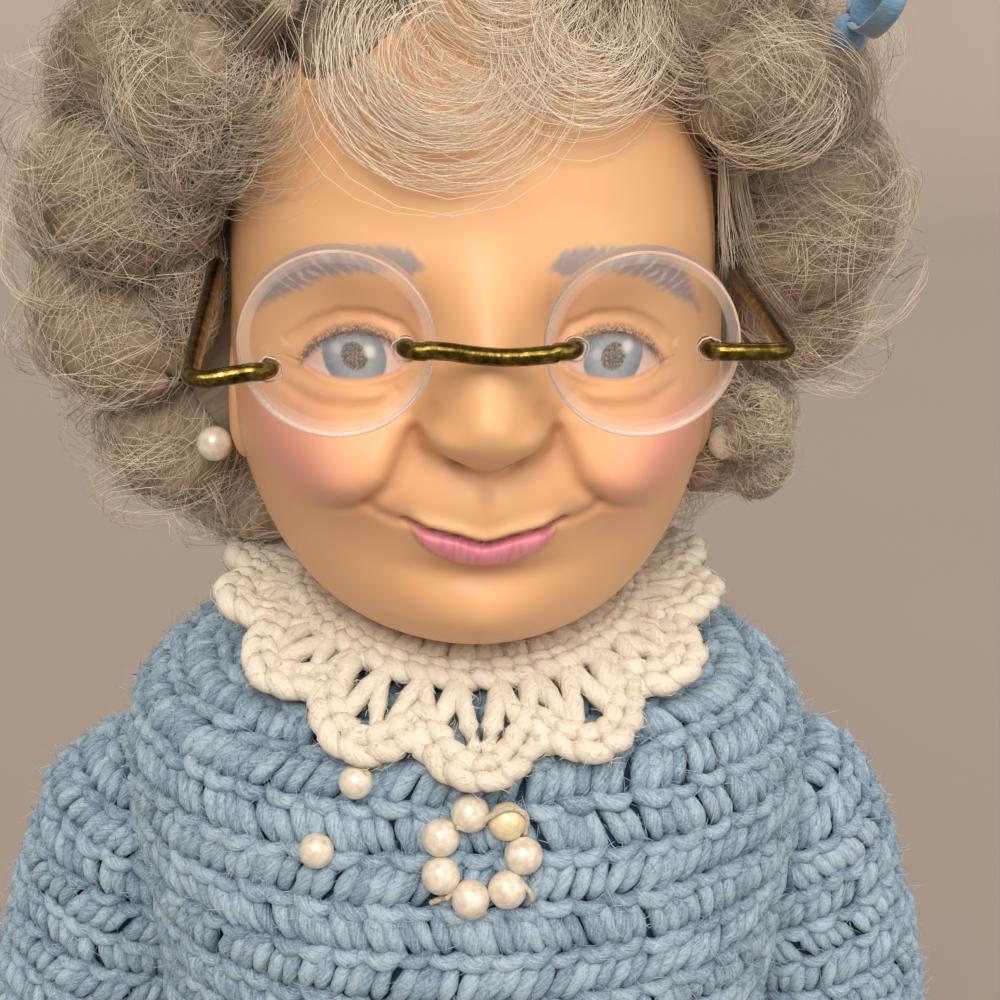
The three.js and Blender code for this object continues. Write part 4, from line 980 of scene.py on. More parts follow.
def fuzz_piece(name, batches, sides, count, material, body, slot, rng, size=1.0):
    """Loose fibres that lie along the yarn and stand a little out of it."""
    skins = np.concatenate([points.reshape(-1, STITCH_STEPS, sides, 3) for points, _, _ in batches])
    pick = rng.integers(0, len(skins), count)
    step = rng.integers(1, STITCH_STEPS - 1, count)
    side = rng.integers(0, sides, count)
    start = skins[pick, step, side]
    normal = unit(start - skins[pick, step].mean(1))
    along = unit(skins[pick, step + 1].mean(1) - skins[pick, step - 1].mean(1))
    along = along * np.sign(rng.normal(size=(count, 1)))
    turn = 0.55 + 0.5 * rng.normal(size=(count, 1))
    way = np.cos(turn) * along + np.sin(turn) * np.cross(normal, along)
    length = size * (1.4 + 2.6 * rng.random((count, 1)))
    rise = size * (0.15 + 1.1 * rng.random((count, 1)) ** 2)
    curl = 0.5 * size * rng.normal(size=(count, 3))
    half_way = start + 0.5 * length * way + 0.6 * rise * normal
    paths = np.stack([start - 0.1 * normal, half_way, start + length * way + rise * normal + curl], 1)
    paths[..., 2] = np.maximum(paths[..., 2], FLOOR_ROOM)
    points, faces = tubes(paths, FIBRE_RADIUS * np.linspace(1, 0.6, 3), 3)
    values = {
        "strand": np.zeros((len(points), 3)),
        # Loose fibres count as standing high, so they take the pale end of the painted shade
        "height": np.full(len(points), 0.95),
        "tone": per_point(1.6 * rng.random(count) - 0.5, 3, 3),
    }
    mesh_piece(name, points, faces, material, body, slot, **values)


class Round:
    """A surface worked in rounds: a place for an angle about it and a distance down it."""

    def __init__(self, place, length):
        self.place = place
        self.length = length

    def frame(self, angle, down):
        """Places, the ways along, down and out of the surface there, and the length of a radian."""
        along = self.place(angle + 0.004, down) - self.place(angle - 0.004, down)
        size = np.linalg.norm(along, axis=-1) / 0.008
        along = unit(along)
        fall = unit(self.place(angle, down + 0.1) - self.place(angle, down - 0.1))
        return self.place(angle, down), along, fall, unit(np.cross(fall, along)), size

    def core(self, name, start, end, columns, body, node, fill):
        """The closed inner skin that shows as shade between the stitches."""
        rows = np.linspace(start, end, max(8, int((end - start) / 2.2)))
        turn = 2 * np.pi * np.arange(columns) / columns
        down, angle = np.meshgrid(rows, turn, indexing="ij")
        at, _, _, outward, _ = self.frame(angle, down)
        points = (at - CORE_INSET * outward).reshape(-1, 3)
        size = len(points)
        # The inner skin counts as lying low, so it takes the dark end of the painted shade
        values = {"strand": points * 0.6, "height": np.full(size, 0.05), "tone": np.zeros(size)}
        faces = capped_faces(len(rows), columns)
        piece = mesh_piece(name, points, faces, BLUE_SHADE, body, "blue_yarn", [node], **values)

    def stitches(self, rows, width, tall, sides, rng):
        """Two slanted legs under a rope of loops, for each stitch of the rounds that start at rows."""
        batches = []
        t = STITCH_TIME
        ring = np.linspace(0, 2 * np.pi, 24, endpoint=False)
        for index, start in rows:
            middle_down = start + tall / 2
            *_, size = self.frame(ring, np.full(24, middle_down))
            count = max(6, int(round(2 * np.pi * size.mean() / width)))
            angle = 2 * np.pi * (np.arange(count) + 0.37 * index + 0.3 * (rng.random(count) - 0.5)) / count
            at, *ways, size = self.frame(angle, middle_down + 0.9 * (rng.random(count) - 0.5))
            wide = 2 * np.pi * size.mean() / count
            lean = (1 if index % 2 else -1) * (0.8 + 0.9 * rng.random((count, 1)))
            lift = 0.6 * (rng.random((count, 1)) - 0.5)
            thick = YARN_RADIUS * width / 4.6 * (0.86 + 0.28 * rng.random((count, 1)))
            shapes = []
            for leg, shift in enumerate((-0.16, 0.32)):
                a = wide * (shift + lean * 0.46 * (t - 0.5))
                b = tall * (-0.54 + 0.88 * t)
                c = -0.6 - 0.12 * leg + 1.75 * np.sin(np.pi * (0.08 + 0.84 * t)) + lift
                shapes.append((a, b, c, thick * (0.74 + 0.26 * STITCH_ARCH)))
            a = wide * 1.28 * (t - 0.5)
            b = tall * (0.33 + 0.20 * STITCH_ARCH) - lean * 0.10 * tall * (t - 0.5)
            c = -0.4 + 1.45 * np.sin(np.pi * (0.06 + 0.86 * t)) + lift
            shapes.append((a, b, c, 0.95 * thick * (0.78 + 0.22 * STITCH_ARCH)))
            for *offsets, radius in shapes:
                paths = at[:, None]
                for offset, way in zip(offsets, ways):
                    offset = np.broadcast_to(offset, (count, STITCH_STEPS))
                    paths = paths + offset[..., None] * way[:, None]
                batches.append(yarn(paths, radius, ways[2], rng, sides, offset))
        return batches

    def work(self, name, body, start, end, rng, tall, width, sides, parts, fibres):
        """Rounds of stitches and their loose fibres from start to end, in so many pieces."""
        count = int(round((end - start) / tall))
        tall = (end - start) / count
        rows = [(k, start + (end - start) * k / count) for k in range(count)]
        for part in range(parts):
            mark = f"_{part + 1}" if parts > 1 else ""
            own = rows[part * count // parts:(part + 1) * count // parts]
            batches = self.stitches(own, width, tall, sides, rng)
            yarn_piece(f"{name}_rounds{mark}", batches, BLUE, body, "blue_yarn")
            fuzz_piece(f"{name}_fuzz{mark}", batches, sides, fibres, BLUE, body, "blue_yarn", rng)


def ring_point(half_width, half_depth, z, angle, square):
    c = np.cos(angle)
    s = np.sin(angle)
    reach = (np.abs(c) ** square + np.abs(s) ** square) ** (-1 / square)
    return np.stack([half_width * reach * c, half_depth * reach * s, np.broadcast_to(z, c.shape)], -1)


# Dress: the bodice's rings as half width, half depth and height, the skirt and the sleeves
BODICE_RINGS = [(14.8, 14.8, 256.0), (35, 30, 251.5), (53, 42.5, 240), (51, 50, 205), (46, 41, 148.3)]
BODICE_SQUARE = 2.3
ARM_ROOM = 4.7
SKIRT_TOP = 148
WAIST_WIDTH = 46
WAIST_DEPTH = 41
HEM_RADIUS = 84
SKIRT_SQUARE = 2.1
FLUTES = 12
FLUTE_DEPTH = 3
SHOULDER = np.array([54.0, 4.0, 213.0])
SPLAY = math.radians(22)
CUFF_SPLAY = math.radians(-2)
SLEEVE_LENGTH = 86.0
SLEEVE_TOP = 18.0
SLEEVE_CUFF = 14.0
SLEEVE_BEND = (SPLAY - CUFF_SPLAY) / SLEEVE_LENGTH
SLEEVE_DOME = SLEEVE_TOP * math.pi / 2
BASE_FIRST = 3.0
BASE_RADIUS = 81.0
BASE_STEP = 3.4
BASE_STITCH = 4.6
BASE_YARN = 1.3


def sleeve_axis(along):
    """Middle of the left sleeve and its direction at a distance from the shoulder."""
    angle = SPLAY - SLEEVE_BEND * along
    x = SHOULDER[0] + (np.cos(angle) - math.cos(SPLAY)) / SLEEVE_BEND
    z = SHOULDER[2] - (math.sin(SPLAY) - np.sin(angle)) / SLEEVE_BEND
    return x, z, angle


def sleeve_radius(along):
    share = along / SLEEVE_LENGTH
    return lerp(SLEEVE_TOP, SLEEVE_CUFF, share) + 0.8 * np.sin(np.pi * share)


def sleeve_place(side):
    def place(turn, down):
        along = np.maximum(down - SLEEVE_DOME, 0)
        dome = np.clip(down, 0.02, SLEEVE_DOME) / SLEEVE_TOP
        x, z, angle = sleeve_axis(along)
        radius = sleeve_radius(along) * np.where(down < SLEEVE_DOME, np.sin(dome), 1)
        back = np.where(down < SLEEVE_DOME, SLEEVE_TOP * np.cos(dome), 0)
        out = radius * np.cos(turn)
        px = x + out * np.cos(angle) - back * np.sin(angle)
        pz = z + out * np.sin(angle) + back * np.cos(angle)
        return np.stack([side * px, SHOULDER[1] + radius * np.sin(side * turn), pz], -1)

    return place


def clear_of_arms(points):
    """Points of the bodice moved inwards where a sleeve lies against it."""
    points = points.copy()
    y = points[..., 1] - SHOULDER[1]
    z = points[..., 2]
    balls = [(SHOULDER[0], SHOULDER[2], SLEEVE_TOP)]
    for along in np.linspace(0, SLEEVE_LENGTH, 44):
        x, level, _ = sleeve_axis(along)
        balls.append((x, level, sleeve_radius(along)))
    limit = np.full(y.shape, 1e3)
    for x, level, radius in balls:
        room = (radius + ARM_ROOM) ** 2 - y**2 - (z - level) ** 2
        limit = np.minimum(limit, np.where(room > 0, x - np.sqrt(np.maximum(room, 0)), 1e3))
    x = points[..., 0]
    points[..., 0] = np.sign(x) * np.minimum(np.abs(x), np.maximum(limit, 20))
    return points


def bodice_round():
    profile = curve_through(BODICE_RINGS, 160)
    run = run_along(np.stack([(profile[:, 0] + profile[:, 1]) / 2, profile[:, 2]], -1))

    def place(angle, down):
        width, depth, z = (np.interp(down, run, profile[:, i]) for i in range(3))
        return clear_of_arms(ring_point(width, depth, z, angle, BODICE_SQUARE))

    return Round(place, run[-1])


def skirt_round():
    z = np.linspace(SKIRT_TOP, 0, 120)
    flare = (1 - z / SKIRT_TOP) ** 1.15
    width = lerp(WAIST_WIDTH, HEM_RADIUS, flare)
    depth = lerp(WAIST_DEPTH, HEM_RADIUS, flare)
    run = run_along(np.stack([(width + depth) / 2, z], -1))

    def place(angle, down):
        level = np.interp(down, run, z)
        at = ring_point(np.interp(down, run, width), np.interp(down, run, depth), level, angle, SKIRT_SQUARE)
        way = np.arctan2(at[..., 1], at[..., 0])
        wave = FLUTE_DEPTH * (1 - level / SKIRT_TOP) ** 2 * np.cos(FLUTES * way)
        at[..., 0] += wave * np.cos(way)
        at[..., 1] += wave * np.sin(way)
        return at

    return Round(place, run[-1])


def make_body():
    rng = np.random.default_rng(11)
    bodice = bodice_round()
    skirt = skirt_round()
    bodice.core("bodice_inside", 1.0, bodice.length, 150, "torso", "bodice", fill=0.85)
    skirt.core("skirt_inside", 0.5, skirt.length - 2.6, 170, "torso", "skirt", fill=0.6)
    bodice.work("bodice", "torso", 1.5, bodice.length - 1, rng,
                tall=7.0, width=4.8, sides=8, parts=3, fibres=9500)
    skirt.work("skirt", "torso", 0.5, skirt.length - 3.0, rng,
               tall=7.2, width=5.0, sides=6, parts=3, fibres=5000)
    for name, side in SIDES:
        body = f"{name}_arm"
        sleeve = Round(sleeve_place(side), SLEEVE_DOME + SLEEVE_LENGTH)
        sleeve.core(f"{name}_sleeve_inside", 0.5, sleeve.length - 0.5, 72, body, f"{name}_sleeve", fill=0.75)
        sleeve.work(f"{name}_sleeve", body, 6.0, sleeve.length - 1.0, rng,
                    tall=6.8, width=4.6, sides=7, parts=1, fibres=7000)
    make_base(rng)


def make_base(rng):
    """The flat crocheted disc under the doll, worked in rings of rope."""
    t = np.linspace(-0.62, 0.62, 5)
    batches = []
    for radius in np.arange(BASE_FIRST, BASE_RADIUS, BASE_STEP):
        count = max(1, int(round(2 * np.pi * radius / BASE_STITCH)))
        angle = 2 * np.pi * (np.arange(count) + rng.random()) / count
        way = angle[:, None] + t * 2 * np.pi / count
        reach = radius + 0.5 * np.sin(np.pi * t)
        z = np.broadcast_to(1.75 + 0.35 * np.cos(np.pi * t), way.shape)
        paths = np.stack([reach * np.cos(way), reach * np.sin(way), z], -1)
        batches.append(yarn(paths, BASE_YARN, np.tile([0, 0, -1.0], (count, 1)), rng, 6, 0.4))
    yarn_piece("base_rounds", batches, BLUE, "torso", "blue_yarn", ["base_disc"])


# Lace collar, over an angle and the share of the way from its inner to its outer edge
COLLAR_INNER = 15.4
COLLAR_SIDE = 40.0
COLLAR_FRONT = 46.0
COLLAR_TOP_Z = 259.4
COLLAR_SIDES = 9
SCALLOPS = 7
SCALLOP_DEPTH = 3.4
TIE_RING = 14.2
TIE_Z = 257.2
TIE_RADIUS = 0.85
# Rows of posts: pairs of posts, share at their foot and head, and lean
COLLAR_POSTS = [(60, 0.02, 0.24, 0.0), (40, 0.2, 0.5, 0.0), (35, 0.46, 0.7, 0.05)]


def collar_place(angle, share):
    forward = np.maximum(0, -np.sin(angle)) ** 2
    notch = SCALLOP_DEPTH * (np.abs(np.sin(SCALLOPS * angle)) - 1)
    outer = lerp(COLLAR_SIDE, COLLAR_FRONT, forward) + notch * np.clip(share, 0, 1) ** 2
    reach = lerp(COLLAR_INNER, outer, share)
    z = lerp(COLLAR_TOP_Z, NECK_Z + lerp(6, -9.5, forward), np.abs(share) ** 2.2)
    return np.stack([reach * np.cos(angle), reach * np.sin(angle), z], -1)


def scallop(angle):
    return 0.2 * np.abs(np.sin(SCALLOPS * angle)) ** 0.8


def chain(angle, share, width, radius, lift, rng):
    """Crochet chain along a line on the collar: pairs of slanted strands that lie in each other."""
    share = np.broadcast_to(share, angle.shape)
    run = run_along(collar_place(angle, share))
    count = max(3, int(round(run[-1] / (2.0 * radius))))
    t = STITCH_TIME
    paths = []
    outs = []
    highs = []
    for k in range(count):
        reach = (k + 0.5 + 1.55 * (t - 0.5)) * run[-1] / count
        a = np.interp(reach, run, angle)
        s = np.interp(reach, run, share)
        at = collar_place(a, s)
        up = unit(np.cross(collar_place(a, s + 0.02) - at, collar_place(a + 0.02, s) - at))
        up = up * np.sign(up[:, 2:] + 1e-9)
        across = np.cross(up, unit(np.gradient(at, axis=0)))
        for side in (-1, 1):
            shift = side * width * np.sin(np.pi * (0.08 + 0.84 * t)) * (0.9 + 0.2 * rng.random())
            high = lift + 0.75 * np.cos(np.pi * t) + 0.25 * (rng.random() - 0.5)
            paths.append(at + across * shift[:, None] + up * high[:, None])
            outs.append(up[STITCH_STEPS // 2])
            highs.append(high + 0.6)
    thick = radius * (0.74 + 0.26 * STITCH_ARCH) * (0.92 + 0.16 * rng.random((len(paths), 1)))
    return yarn(paths, thick, np.array(outs), rng, COLLAR_SIDES, highs)


def collar_posts(rng):
    """Pairs of upright stitches in three rows, the last of them leaning into the scallops."""
    up = np.array([0, 0, 1.0])
    t = STITCH_TIME
    posts = []
    highs = []
    for count, low, high, lean in COLLAR_POSTS:
        for k in range(count):
            for side in (-1, 1):
                centre = -np.pi / 2 + 2 * np.pi * (k + 0.5 + 0.12 * (rng.random() - 0.5)) / count
                angle = centre + side * (0.35 * np.pi / count) + side * lean * (2 * t - 1)
                end = 0.72 + scallop(angle[-1]) if lean else high
                rise = 0.2 + 0.9 * STITCH_ARCH + 0.3 * (rng.random() - 0.5)
                posts.append(collar_place(angle, lerp(low, end, t)) + rise[:, None] * up)
                highs.append(rise + 0.4)
    thick = 1.62 * (0.8 + 0.2 * STITCH_ARCH) * (0.88 + 0.24 * rng.random((len(posts), 1)))
    return yarn(posts, thick, np.tile(up, (len(posts), 1)), rng, COLLAR_SIDES, highs)


def make_collar():
    rng = np.random.default_rng(23)
    ring = np.linspace(-np.pi / 2, 1.5 * np.pi, 241)
    batches = [chain(ring, share, 1.1, 1.25, 0.5, rng) for share in (0.03, 0.2)]
    batches.append(collar_posts(rng))
    batches.append(chain(ring, 0.48, 1.3, 1.6, 1.0, rng))
    batches.append(chain(ring, 0.74 + scallop(ring), 1.6, 1.75, 0.8, rng))
    yarn_piece("collar_lace", batches, CREAM, "torso", "cream_yarn", ["lace_collar"])
    fuzz_piece("collar_fuzz", batches, COLLAR_SIDES, 10500, CREAM, "torso", "cream_yarn", rng, 0.6)
    turn = np.linspace(0, 2 * np.pi, 60)
    tie = np.stack([TIE_RING * np.cos(turn), TIE_RING * np.sin(turn), np.full(60, TIE_Z)], -1)
    tied = yarn(tie[None], TIE_RADIUS, np.array([[0, 0, 1.0]]), rng, 9)
    yarn_piece("neck_cord", [tied], CREAM, "torso", "cream_yarn", ["neck_tie"])


# Pearls and thread
BROOCH_PEARLS = 7
BROOCH_BEAD = 2.85
YELLOW_BEAD = 1
LOOSE_BEAD = 2.6
EARRING_BEAD = 2.75
EARRING_AT = (40.0, -6, 286.3)
BORE_RADIUS = 0.55
THREAD_RADIUS = 0.4
# Stretches of the brooch's thread: points, and for each place on the way the two beads that it lies
# between, how far it stands out, and how far it is moved across and up
THREAD_STRETCHES = [
    (48, [(3, 2, 1.6, 0, 0), (2, 2, 1.9, 0.2, -2.2), (2, 1, 2.0, 0.3, 0.6), (1, 1, 1.7, 0.4, 2.4),
          (1, 1, 1.2, 2.7, 1.0), (1, 1, 0.6, 2.6, -2.2)]),
    (26, [(4, 5, 0, 0, 0), (4, 5, 1.4, -1.2, -1.4), (4, 4, 1.2, 0.2, -3.6), (4, 4, 1.0, -1.6, -4.4)]),
    (26, [(5, 5, 0.8, -2.2, -2.0), (5, 5, 1.2, 0.0, -2.9), (5, 5, 0.8, 2.4, -2.0)]),
    (20, [(6, 6, 0, 2.2, 0.8), (6, 6, 0.9, 2.6, 0.6), (6, 6, 1.2, 3.4, -0.6), (6, 6, 1.0, 3.6, -1.6)]),
]


def middle(node):
    low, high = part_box(node)
    return (np.array(low) + np.array(high)) / 2 / MM


def bead(name, at, radius, axis, body, slot, node):
    """A round bead with a dimpled thread hole."""
    start = math.asin(BORE_RADIUS / radius)
    polar = np.linspace(start, math.pi - start, 30)
    profile = [(0.0, radius * 0.72)]
    profile += [(radius * math.sin(p), radius * math.cos(p)) for p in polar]
    profile.append((0.0, -radius * 0.72))
    points, faces = turned(profile, 44)
    turn = Vector((0, 1, 0)).rotation_difference(Vector(axis)).to_matrix()
    points = points @ np.array(turn).T + np.asarray(at)
    mesh_piece(name, points, faces, PEARLS[slot], body, slot, [node])


def make_pearls():
    beads = [middle(f"brooch_pearl_{k + 1}") for k in range(BROOCH_PEARLS)]
    for k, at in enumerate(beads):
        way = unit(beads[(k + 1) % BROOCH_PEARLS] - beads[k - 1])
        slot = "yellow_pearl" if k == YELLOW_BEAD else "pearl"
        bead(f"brooch_bead_{k + 1}", at, BROOCH_BEAD, way, "torso", slot, f"brooch_pearl_{k + 1}")
    for k in (1, 2):
        node = f"single_pearl_{k}"
        bead(f"loose_bead_{k}", middle(node), LOOSE_BEAD, (0.6, -0.3, 0.74), "torso", "pearl", node)
    for name, side in SIDES:
        at = np.array(EARRING_AT) * [side, 1, 1]
        bead(f"{name}_earring_bead", at, EARRING_BEAD, (0, 0.2, 1), "head", "pearl", f"{name}_earring")
    rng = np.random.default_rng(31)
    centre = np.mean(beads, axis=0)
    out = unit(np.cross(beads[2] - centre, beads[0] - centre))
    out = out if out[1] < 0 else -out
    lines = [curve_through([*beads, beads[0]], 90)]
    for count, places in THREAD_STRETCHES:
        points = [(beads[a] + beads[b]) / 2 + lift * out + [x, 0, z] for a, b, lift, x, z in places]
        lines.append(curve_through(points, count))
    batches = [yarn(line[None], THREAD_RADIUS, np.array([out]), rng, 9) for line in lines]
    yarn_piece("brooch_cord", batches, CREAM, "torso", "thread", ["brooch_thread"])


# Hair
HAIR_MIDDLE = np.array([0.0, 7.0, 317.6])
CURL_REACH = np.array([54.0, 36.0, 55.0])
HAIR_NODES = ["hair_back", "hair_crown", "hair_fringe", "hair_left", "hair_right"]
# Rows of large curls and of the masses under them: degrees up, degrees from the front, curls on a side
CURL_ROWS = [
    (86, 0, 1), (66, 0, 4), (46, 0, 6), (26, 40, 6),
    (6, 60, 6), (-14, 72, 6), (-33, 84, 5), (-50, 100, 3),
]
UNDER_ROWS = [(90, 0, 1), (66, 0, 3), (40, 0, 4), (12, 66, 4), (-30, 96, 3)]
# Small curls beside the face: place, axis, way to the head, radius and length
FACE_CURLS = [
    ((43.5, -11.0, 291.0), (0.3, 0.2, 1.0), (-0.5, 1.0, 0.0), 5.0, 12.0),
    ((46.0, -5.0, 283.0), (0.3, 0.2, 1.0), (-0.5, 1.0, 0.0), 5.0, 12.0),
    ((-37.5, -18.5, 338.5), (0.5, -0.1, 0.85), (0.35, 1.0, 0.0), 6.5, 27.0),
    ((-42.5, -13.0, 327.0), (0.4, -0.1, 0.9), (0.35, 1.0, 0.0), 6.5, 22.0),
    ((-43.5, -7.0, 312.0), (0.1, -0.1, 1.0), (0.35, 1.0, 0.0), 6.0, 26.0),
]
# Curls on the forehead: middle across and up, inner and outer size, first and last angle, strands, tone.
# The ones at the sides have a mass under them, from this place in the list on.
SWIRLS = [
    (3.0, 97.0, 1.0, 13.0, 150, 390, 170, 0.92),
    (-4.5, 86.5, 1.0, 15.0, 160, 350, 175, 1.0),
    (11.5, 90.5, 1.0, 12.8, 190, 375, 130, 1.0),
    (28.5, 91.5, 1.0, 12.5, 160, 355, 320, 0.78),
    (-30.0, 84.0, 1.0, 12.5, 150, 335, 260, 0.7),
    (-35.5, 76.0, 1.0, 10.5, 120, 330, 240, 0.62),
]
FIRST_SIDE_SWIRL = 3
SWIRL_BANDS = 9
# Straight wisps at the temples: places across, up and off the head, strands, width and tone
WISPS = [
    ([(-21, 90, 8), (-28, 83, 6.5), (-34, 76, 5.5), (-39, 68, 5.5), (-44, 59, 6.5)], 190, 4.6, 0.6),
    ([(25, 93, 10), (30, 83, 6), (33, 74, 4), (35.5, 65, 3.5), (38, 57, 4), (43, 50, 5)], 110, 3.4, 0.66),
    ([(29, 82, 6), (32, 72, 3.0), (34, 63, 2.0), (35, 55, 2.5)], 36, 1.6, 0.76),
]
STRAYS = 12


def over_face(x, h, lift):
    """A place that far off the head in front of a spot on the face or forehead."""
    x, h, lift = np.broadcast_arrays(*(np.asarray(v, float) for v in (x, h, lift)))
    level = np.clip((h - JAW_HEIGHT) / CROWN_RISE, 0, 0.995)
    limit = 0.97 * HEAD_HALF_WIDTH * np.maximum(1 - level**CROWN_SQUARE, 1e-4) ** (1 / CROWN_SQUARE)
    within = np.clip(x, -limit, limit)
    at = face_points(within, np.minimum(h, 105))
    at = at + lift[..., None] * out_of_head(at)
    at[..., 0] += x - within
    return at


def way_out(side, turn, rise):
    """The way at angles from the front towards a side, and up."""
    level = math.cos(rise)
    return np.array([side * math.sin(turn) * level, -math.cos(turn) * level, math.sin(rise)])


class Roll:
    """One curl: where it is, the axis that it winds about, and its size."""

    def __init__(self, at, axis, inward, radius, long, tone):
        self.at = at
        self.axis = unit(axis)
        self.radius = radius
        self.long = long
        self.tone = tone
        self.e1 = unit(inward - np.dot(inward, self.axis) * self.axis)
        self.e2 = np.cross(self.axis, self.e1)

    def spokes(self, turn):
        """Ways out of the axis at angles round it."""
        return np.cos(turn)[..., None] * self.e1 + np.sin(turn)[..., None] * self.e2

    def core(self, seed):
        """The combed mass of the curl, which the loose strands lie on."""
        polar, turn = ball_grid(0.05, math.pi - 0.05, 33, 26)
        c = np.cos(turn)
        s = np.sin(turn)
        reach = np.sin(polar)
        along = 0.5 * np.cos(polar)
        rough = 1 + 0.16 * (noise(1.8 * c + 3 * seed, 1.8 * s + 5 * along, 1) - 0.5)
        ridge = noise(0.42 * self.long * along + 0.5 * c + 7 * seed, 1.1 * np.sin(turn + seed), 2)
        rough = rough + 0.17 * reach * (ridge - 0.5)
        points = self.at + (0.9 * self.radius * reach * rough)[..., None] * self.spokes(turn)
        points = points + (0.94 * self.long * along * rough)[..., None] * self.axis
        comb = np.stack([1.3 * self.long * along + 9 * seed, 1.8 * c, 1.8 * s], -1)
        tone = np.full(turn.size, 0.5 * (self.tone - 0.5))
        return points.reshape(-1, 3), capped_faces(*turn.shape), comb.reshape(-1, 3), tone

    def strands(self, rng, count, steps=12, wisps=24, loose=0.22):
        """Fine strands in wisps that wind round the curl, each wisp a little askew."""
        wisp = rng.integers(0, wisps, count)
        axis = unit(self.axis + 0.3 * rng.normal(size=(wisps, 3)))
        e1 = unit(self.e1 - np.sum(self.e1 * axis, -1, keepdims=True) * axis)
        e2 = np.cross(axis, e1)
        axis, e1, e2 = (v[wisp][:, None] for v in (axis, e1, e2))
        spin = 1 if rng.random() < 0.5 else -1
        place = np.clip(0.24 * (rng.random(count) - 0.5) + 0.9 * (rng.random(wisps) - 0.5)[wisp], -0.5, 0.5)
        begin = 2 * np.pi * rng.random(wisps)[wisp] + 0.9 * rng.normal(size=count)
        sweep = spin * 2 * np.pi * (0.36 + 0.4 * rng.random(count))
        t = np.linspace(0, 1, steps)
        turn = (begin[:, None] + sweep[:, None] * t)[..., None]
        waist = np.sqrt(np.maximum(1 - (place / 0.55) ** 2, 0.16))
        thick = 0.98 + 0.10 * rng.random(wisps)[wisp] + 0.06 * rng.random(count)
        flare = 1 + 0.12 * (t - 0.4) * rng.normal(size=(count, 1))
        reach = self.radius * (waist * thick)[:, None] * flare
        along = self.long * place[:, None] + 2.6 * (t - 0.5) * (rng.random(wisps)[wisp] - 0.3)[:, None]
        paths = self.at + reach[..., None] * (np.cos(turn) * e1 + np.sin(turn) * e2) + along[..., None] * axis
        wave = np.sin(2 * np.pi * (0.9 * t + rng.random(wisps)[wisp][:, None]))
        paths = paths + 0.4 * wave[..., None] * rng.normal(size=(wisps, 3))[wisp][:, None]
        frizz = np.sin(2 * np.pi * ((1.2 + rng.random((count, 1))) * t + rng.random((count, 1))))
        size = np.where(rng.random(count) < loose, 1.7, 0.45)[:, None]
        paths = paths + (size * (0.4 + t) * frizz)[..., None] * rng.normal(size=(count, 1, 3)) * 0.5
        tone = self.tone + 0.13 * rng.normal(size=wisps)[wisp] + 0.14 * rng.normal(size=count)
        return paths, np.clip(tone, 0, 1)

    def fur(self, rng, count, steps=4):
        """Short bent fibres all over the outer side of the curl, combed round it and a little tangled."""
        polar = np.arccos(1.9 * rng.random((count, 1)) - 0.95)
        turn = math.pi + 2.1 * (2 * rng.random((count, 1)) - 1)
        shift = 40 * rng.random()
        t = np.linspace(0, 1, steps)
        tilt = 2.6 * (noise(1.6 * polar + shift, 1.3 * turn, 21) - 0.5) + 0.5 * rng.normal(size=(count, 1))
        angle = tilt + 1.3 * rng.normal(size=(count, 1)) * t
        run = (4 + 8 * rng.random((count, 1))) / (steps - 1)
        polar_run = polar + np.cumsum(run * np.sin(angle), 1) / self.radius
        turn_run = turn + np.cumsum(run * np.cos(angle), 1) / (self.radius * np.maximum(np.sin(polar), 0.4))
        reach = 0.93 + 0.1 * rng.random((count, 1)) + 0.2 * rng.random((count, 1)) ** 3 * t
        paths = self.at + (self.radius * reach * np.sin(polar_run))[..., None] * self.spokes(turn_run)
        paths = paths + (0.5 * self.long * reach * np.cos(polar_run))[..., None] * self.axis
        wisp = noise(3.5 * polar + shift, 2.6 * turn, 22)[:, 0]
        return paths, np.clip(self.tone + 0.5 * (wisp - 0.5) + 0.09 * rng.normal(size=count), 0, 1)


def hair_cap():
    """The netted cap under the curls, behind the ears, so that no bare head shows between them."""
    polar, turn = ball_grid(0.04, 0.5 * math.pi + 0.28, 22, 48)
    way = np.stack([np.sin(polar) * np.cos(turn), np.cos(polar), np.sin(polar) * np.sin(turn)], -1)
    rough = 1 + 0.06 * (noise(5 * way[..., 0] + 9, 5 * way[..., 2] + 3 * way[..., 1], 31) - 0.5)
    points = HAIR_MIDDLE + 0.93 * CURL_REACH * way * rough[..., None]
    comb = np.stack([9 * turn, 1.5 * polar, 0 * turn], -1)
    faces = capped_faces(*turn.shape, flip=True)
    return points.reshape(-1, 3), faces, comb.reshape(-1, 3), np.zeros(turn.size)


def side_rolls(rng):
    """Curls all over the head but the face, fuller on the doll's right."""
    rolls = []
    for rise, first, count in CURL_ROWS:
        for k in range(count):
            for side in (1, -1):
                turn = math.radians(first + (180 - first) * (k + 0.5 + 0.3 * (rng.random() - 0.5)) / count)
                way = way_out(side, turn, math.radians(rise + 7 * (rng.random() - 0.5)))
                out = unit(way / CURL_REACH)
                radius = 10.0 + 3.5 * rng.random()
                at = HAIR_MIDDLE + CURL_REACH * way + out * (12.2 - radius + 2.0 * (rng.random() - 0.5))
                if side < 0:
                    at = at + np.array([-3.4, 0, -3.0 if rise < -10 else 0]) * smooth(60 - rise, 0, 40)
                else:
                    at = at + np.array([-3.2, 0, 2.0]) * smooth(12 - rise, 0, 40)
                flat = unit(np.cross(out, rng.normal(size=3)))
                axis = flat + out * (0.7 * rng.random() - 0.1) + np.array([0, -0.3, 0])
                # Painted shade: curls darker towards the top of the head, on top of a random tone of their
                # own
                tone = 0.61 + 0.07 * rng.normal() - 0.24 * way[2]
                rolls.append(Roll(at, axis, -out, radius, 2.3 * radius, tone))
    return rolls


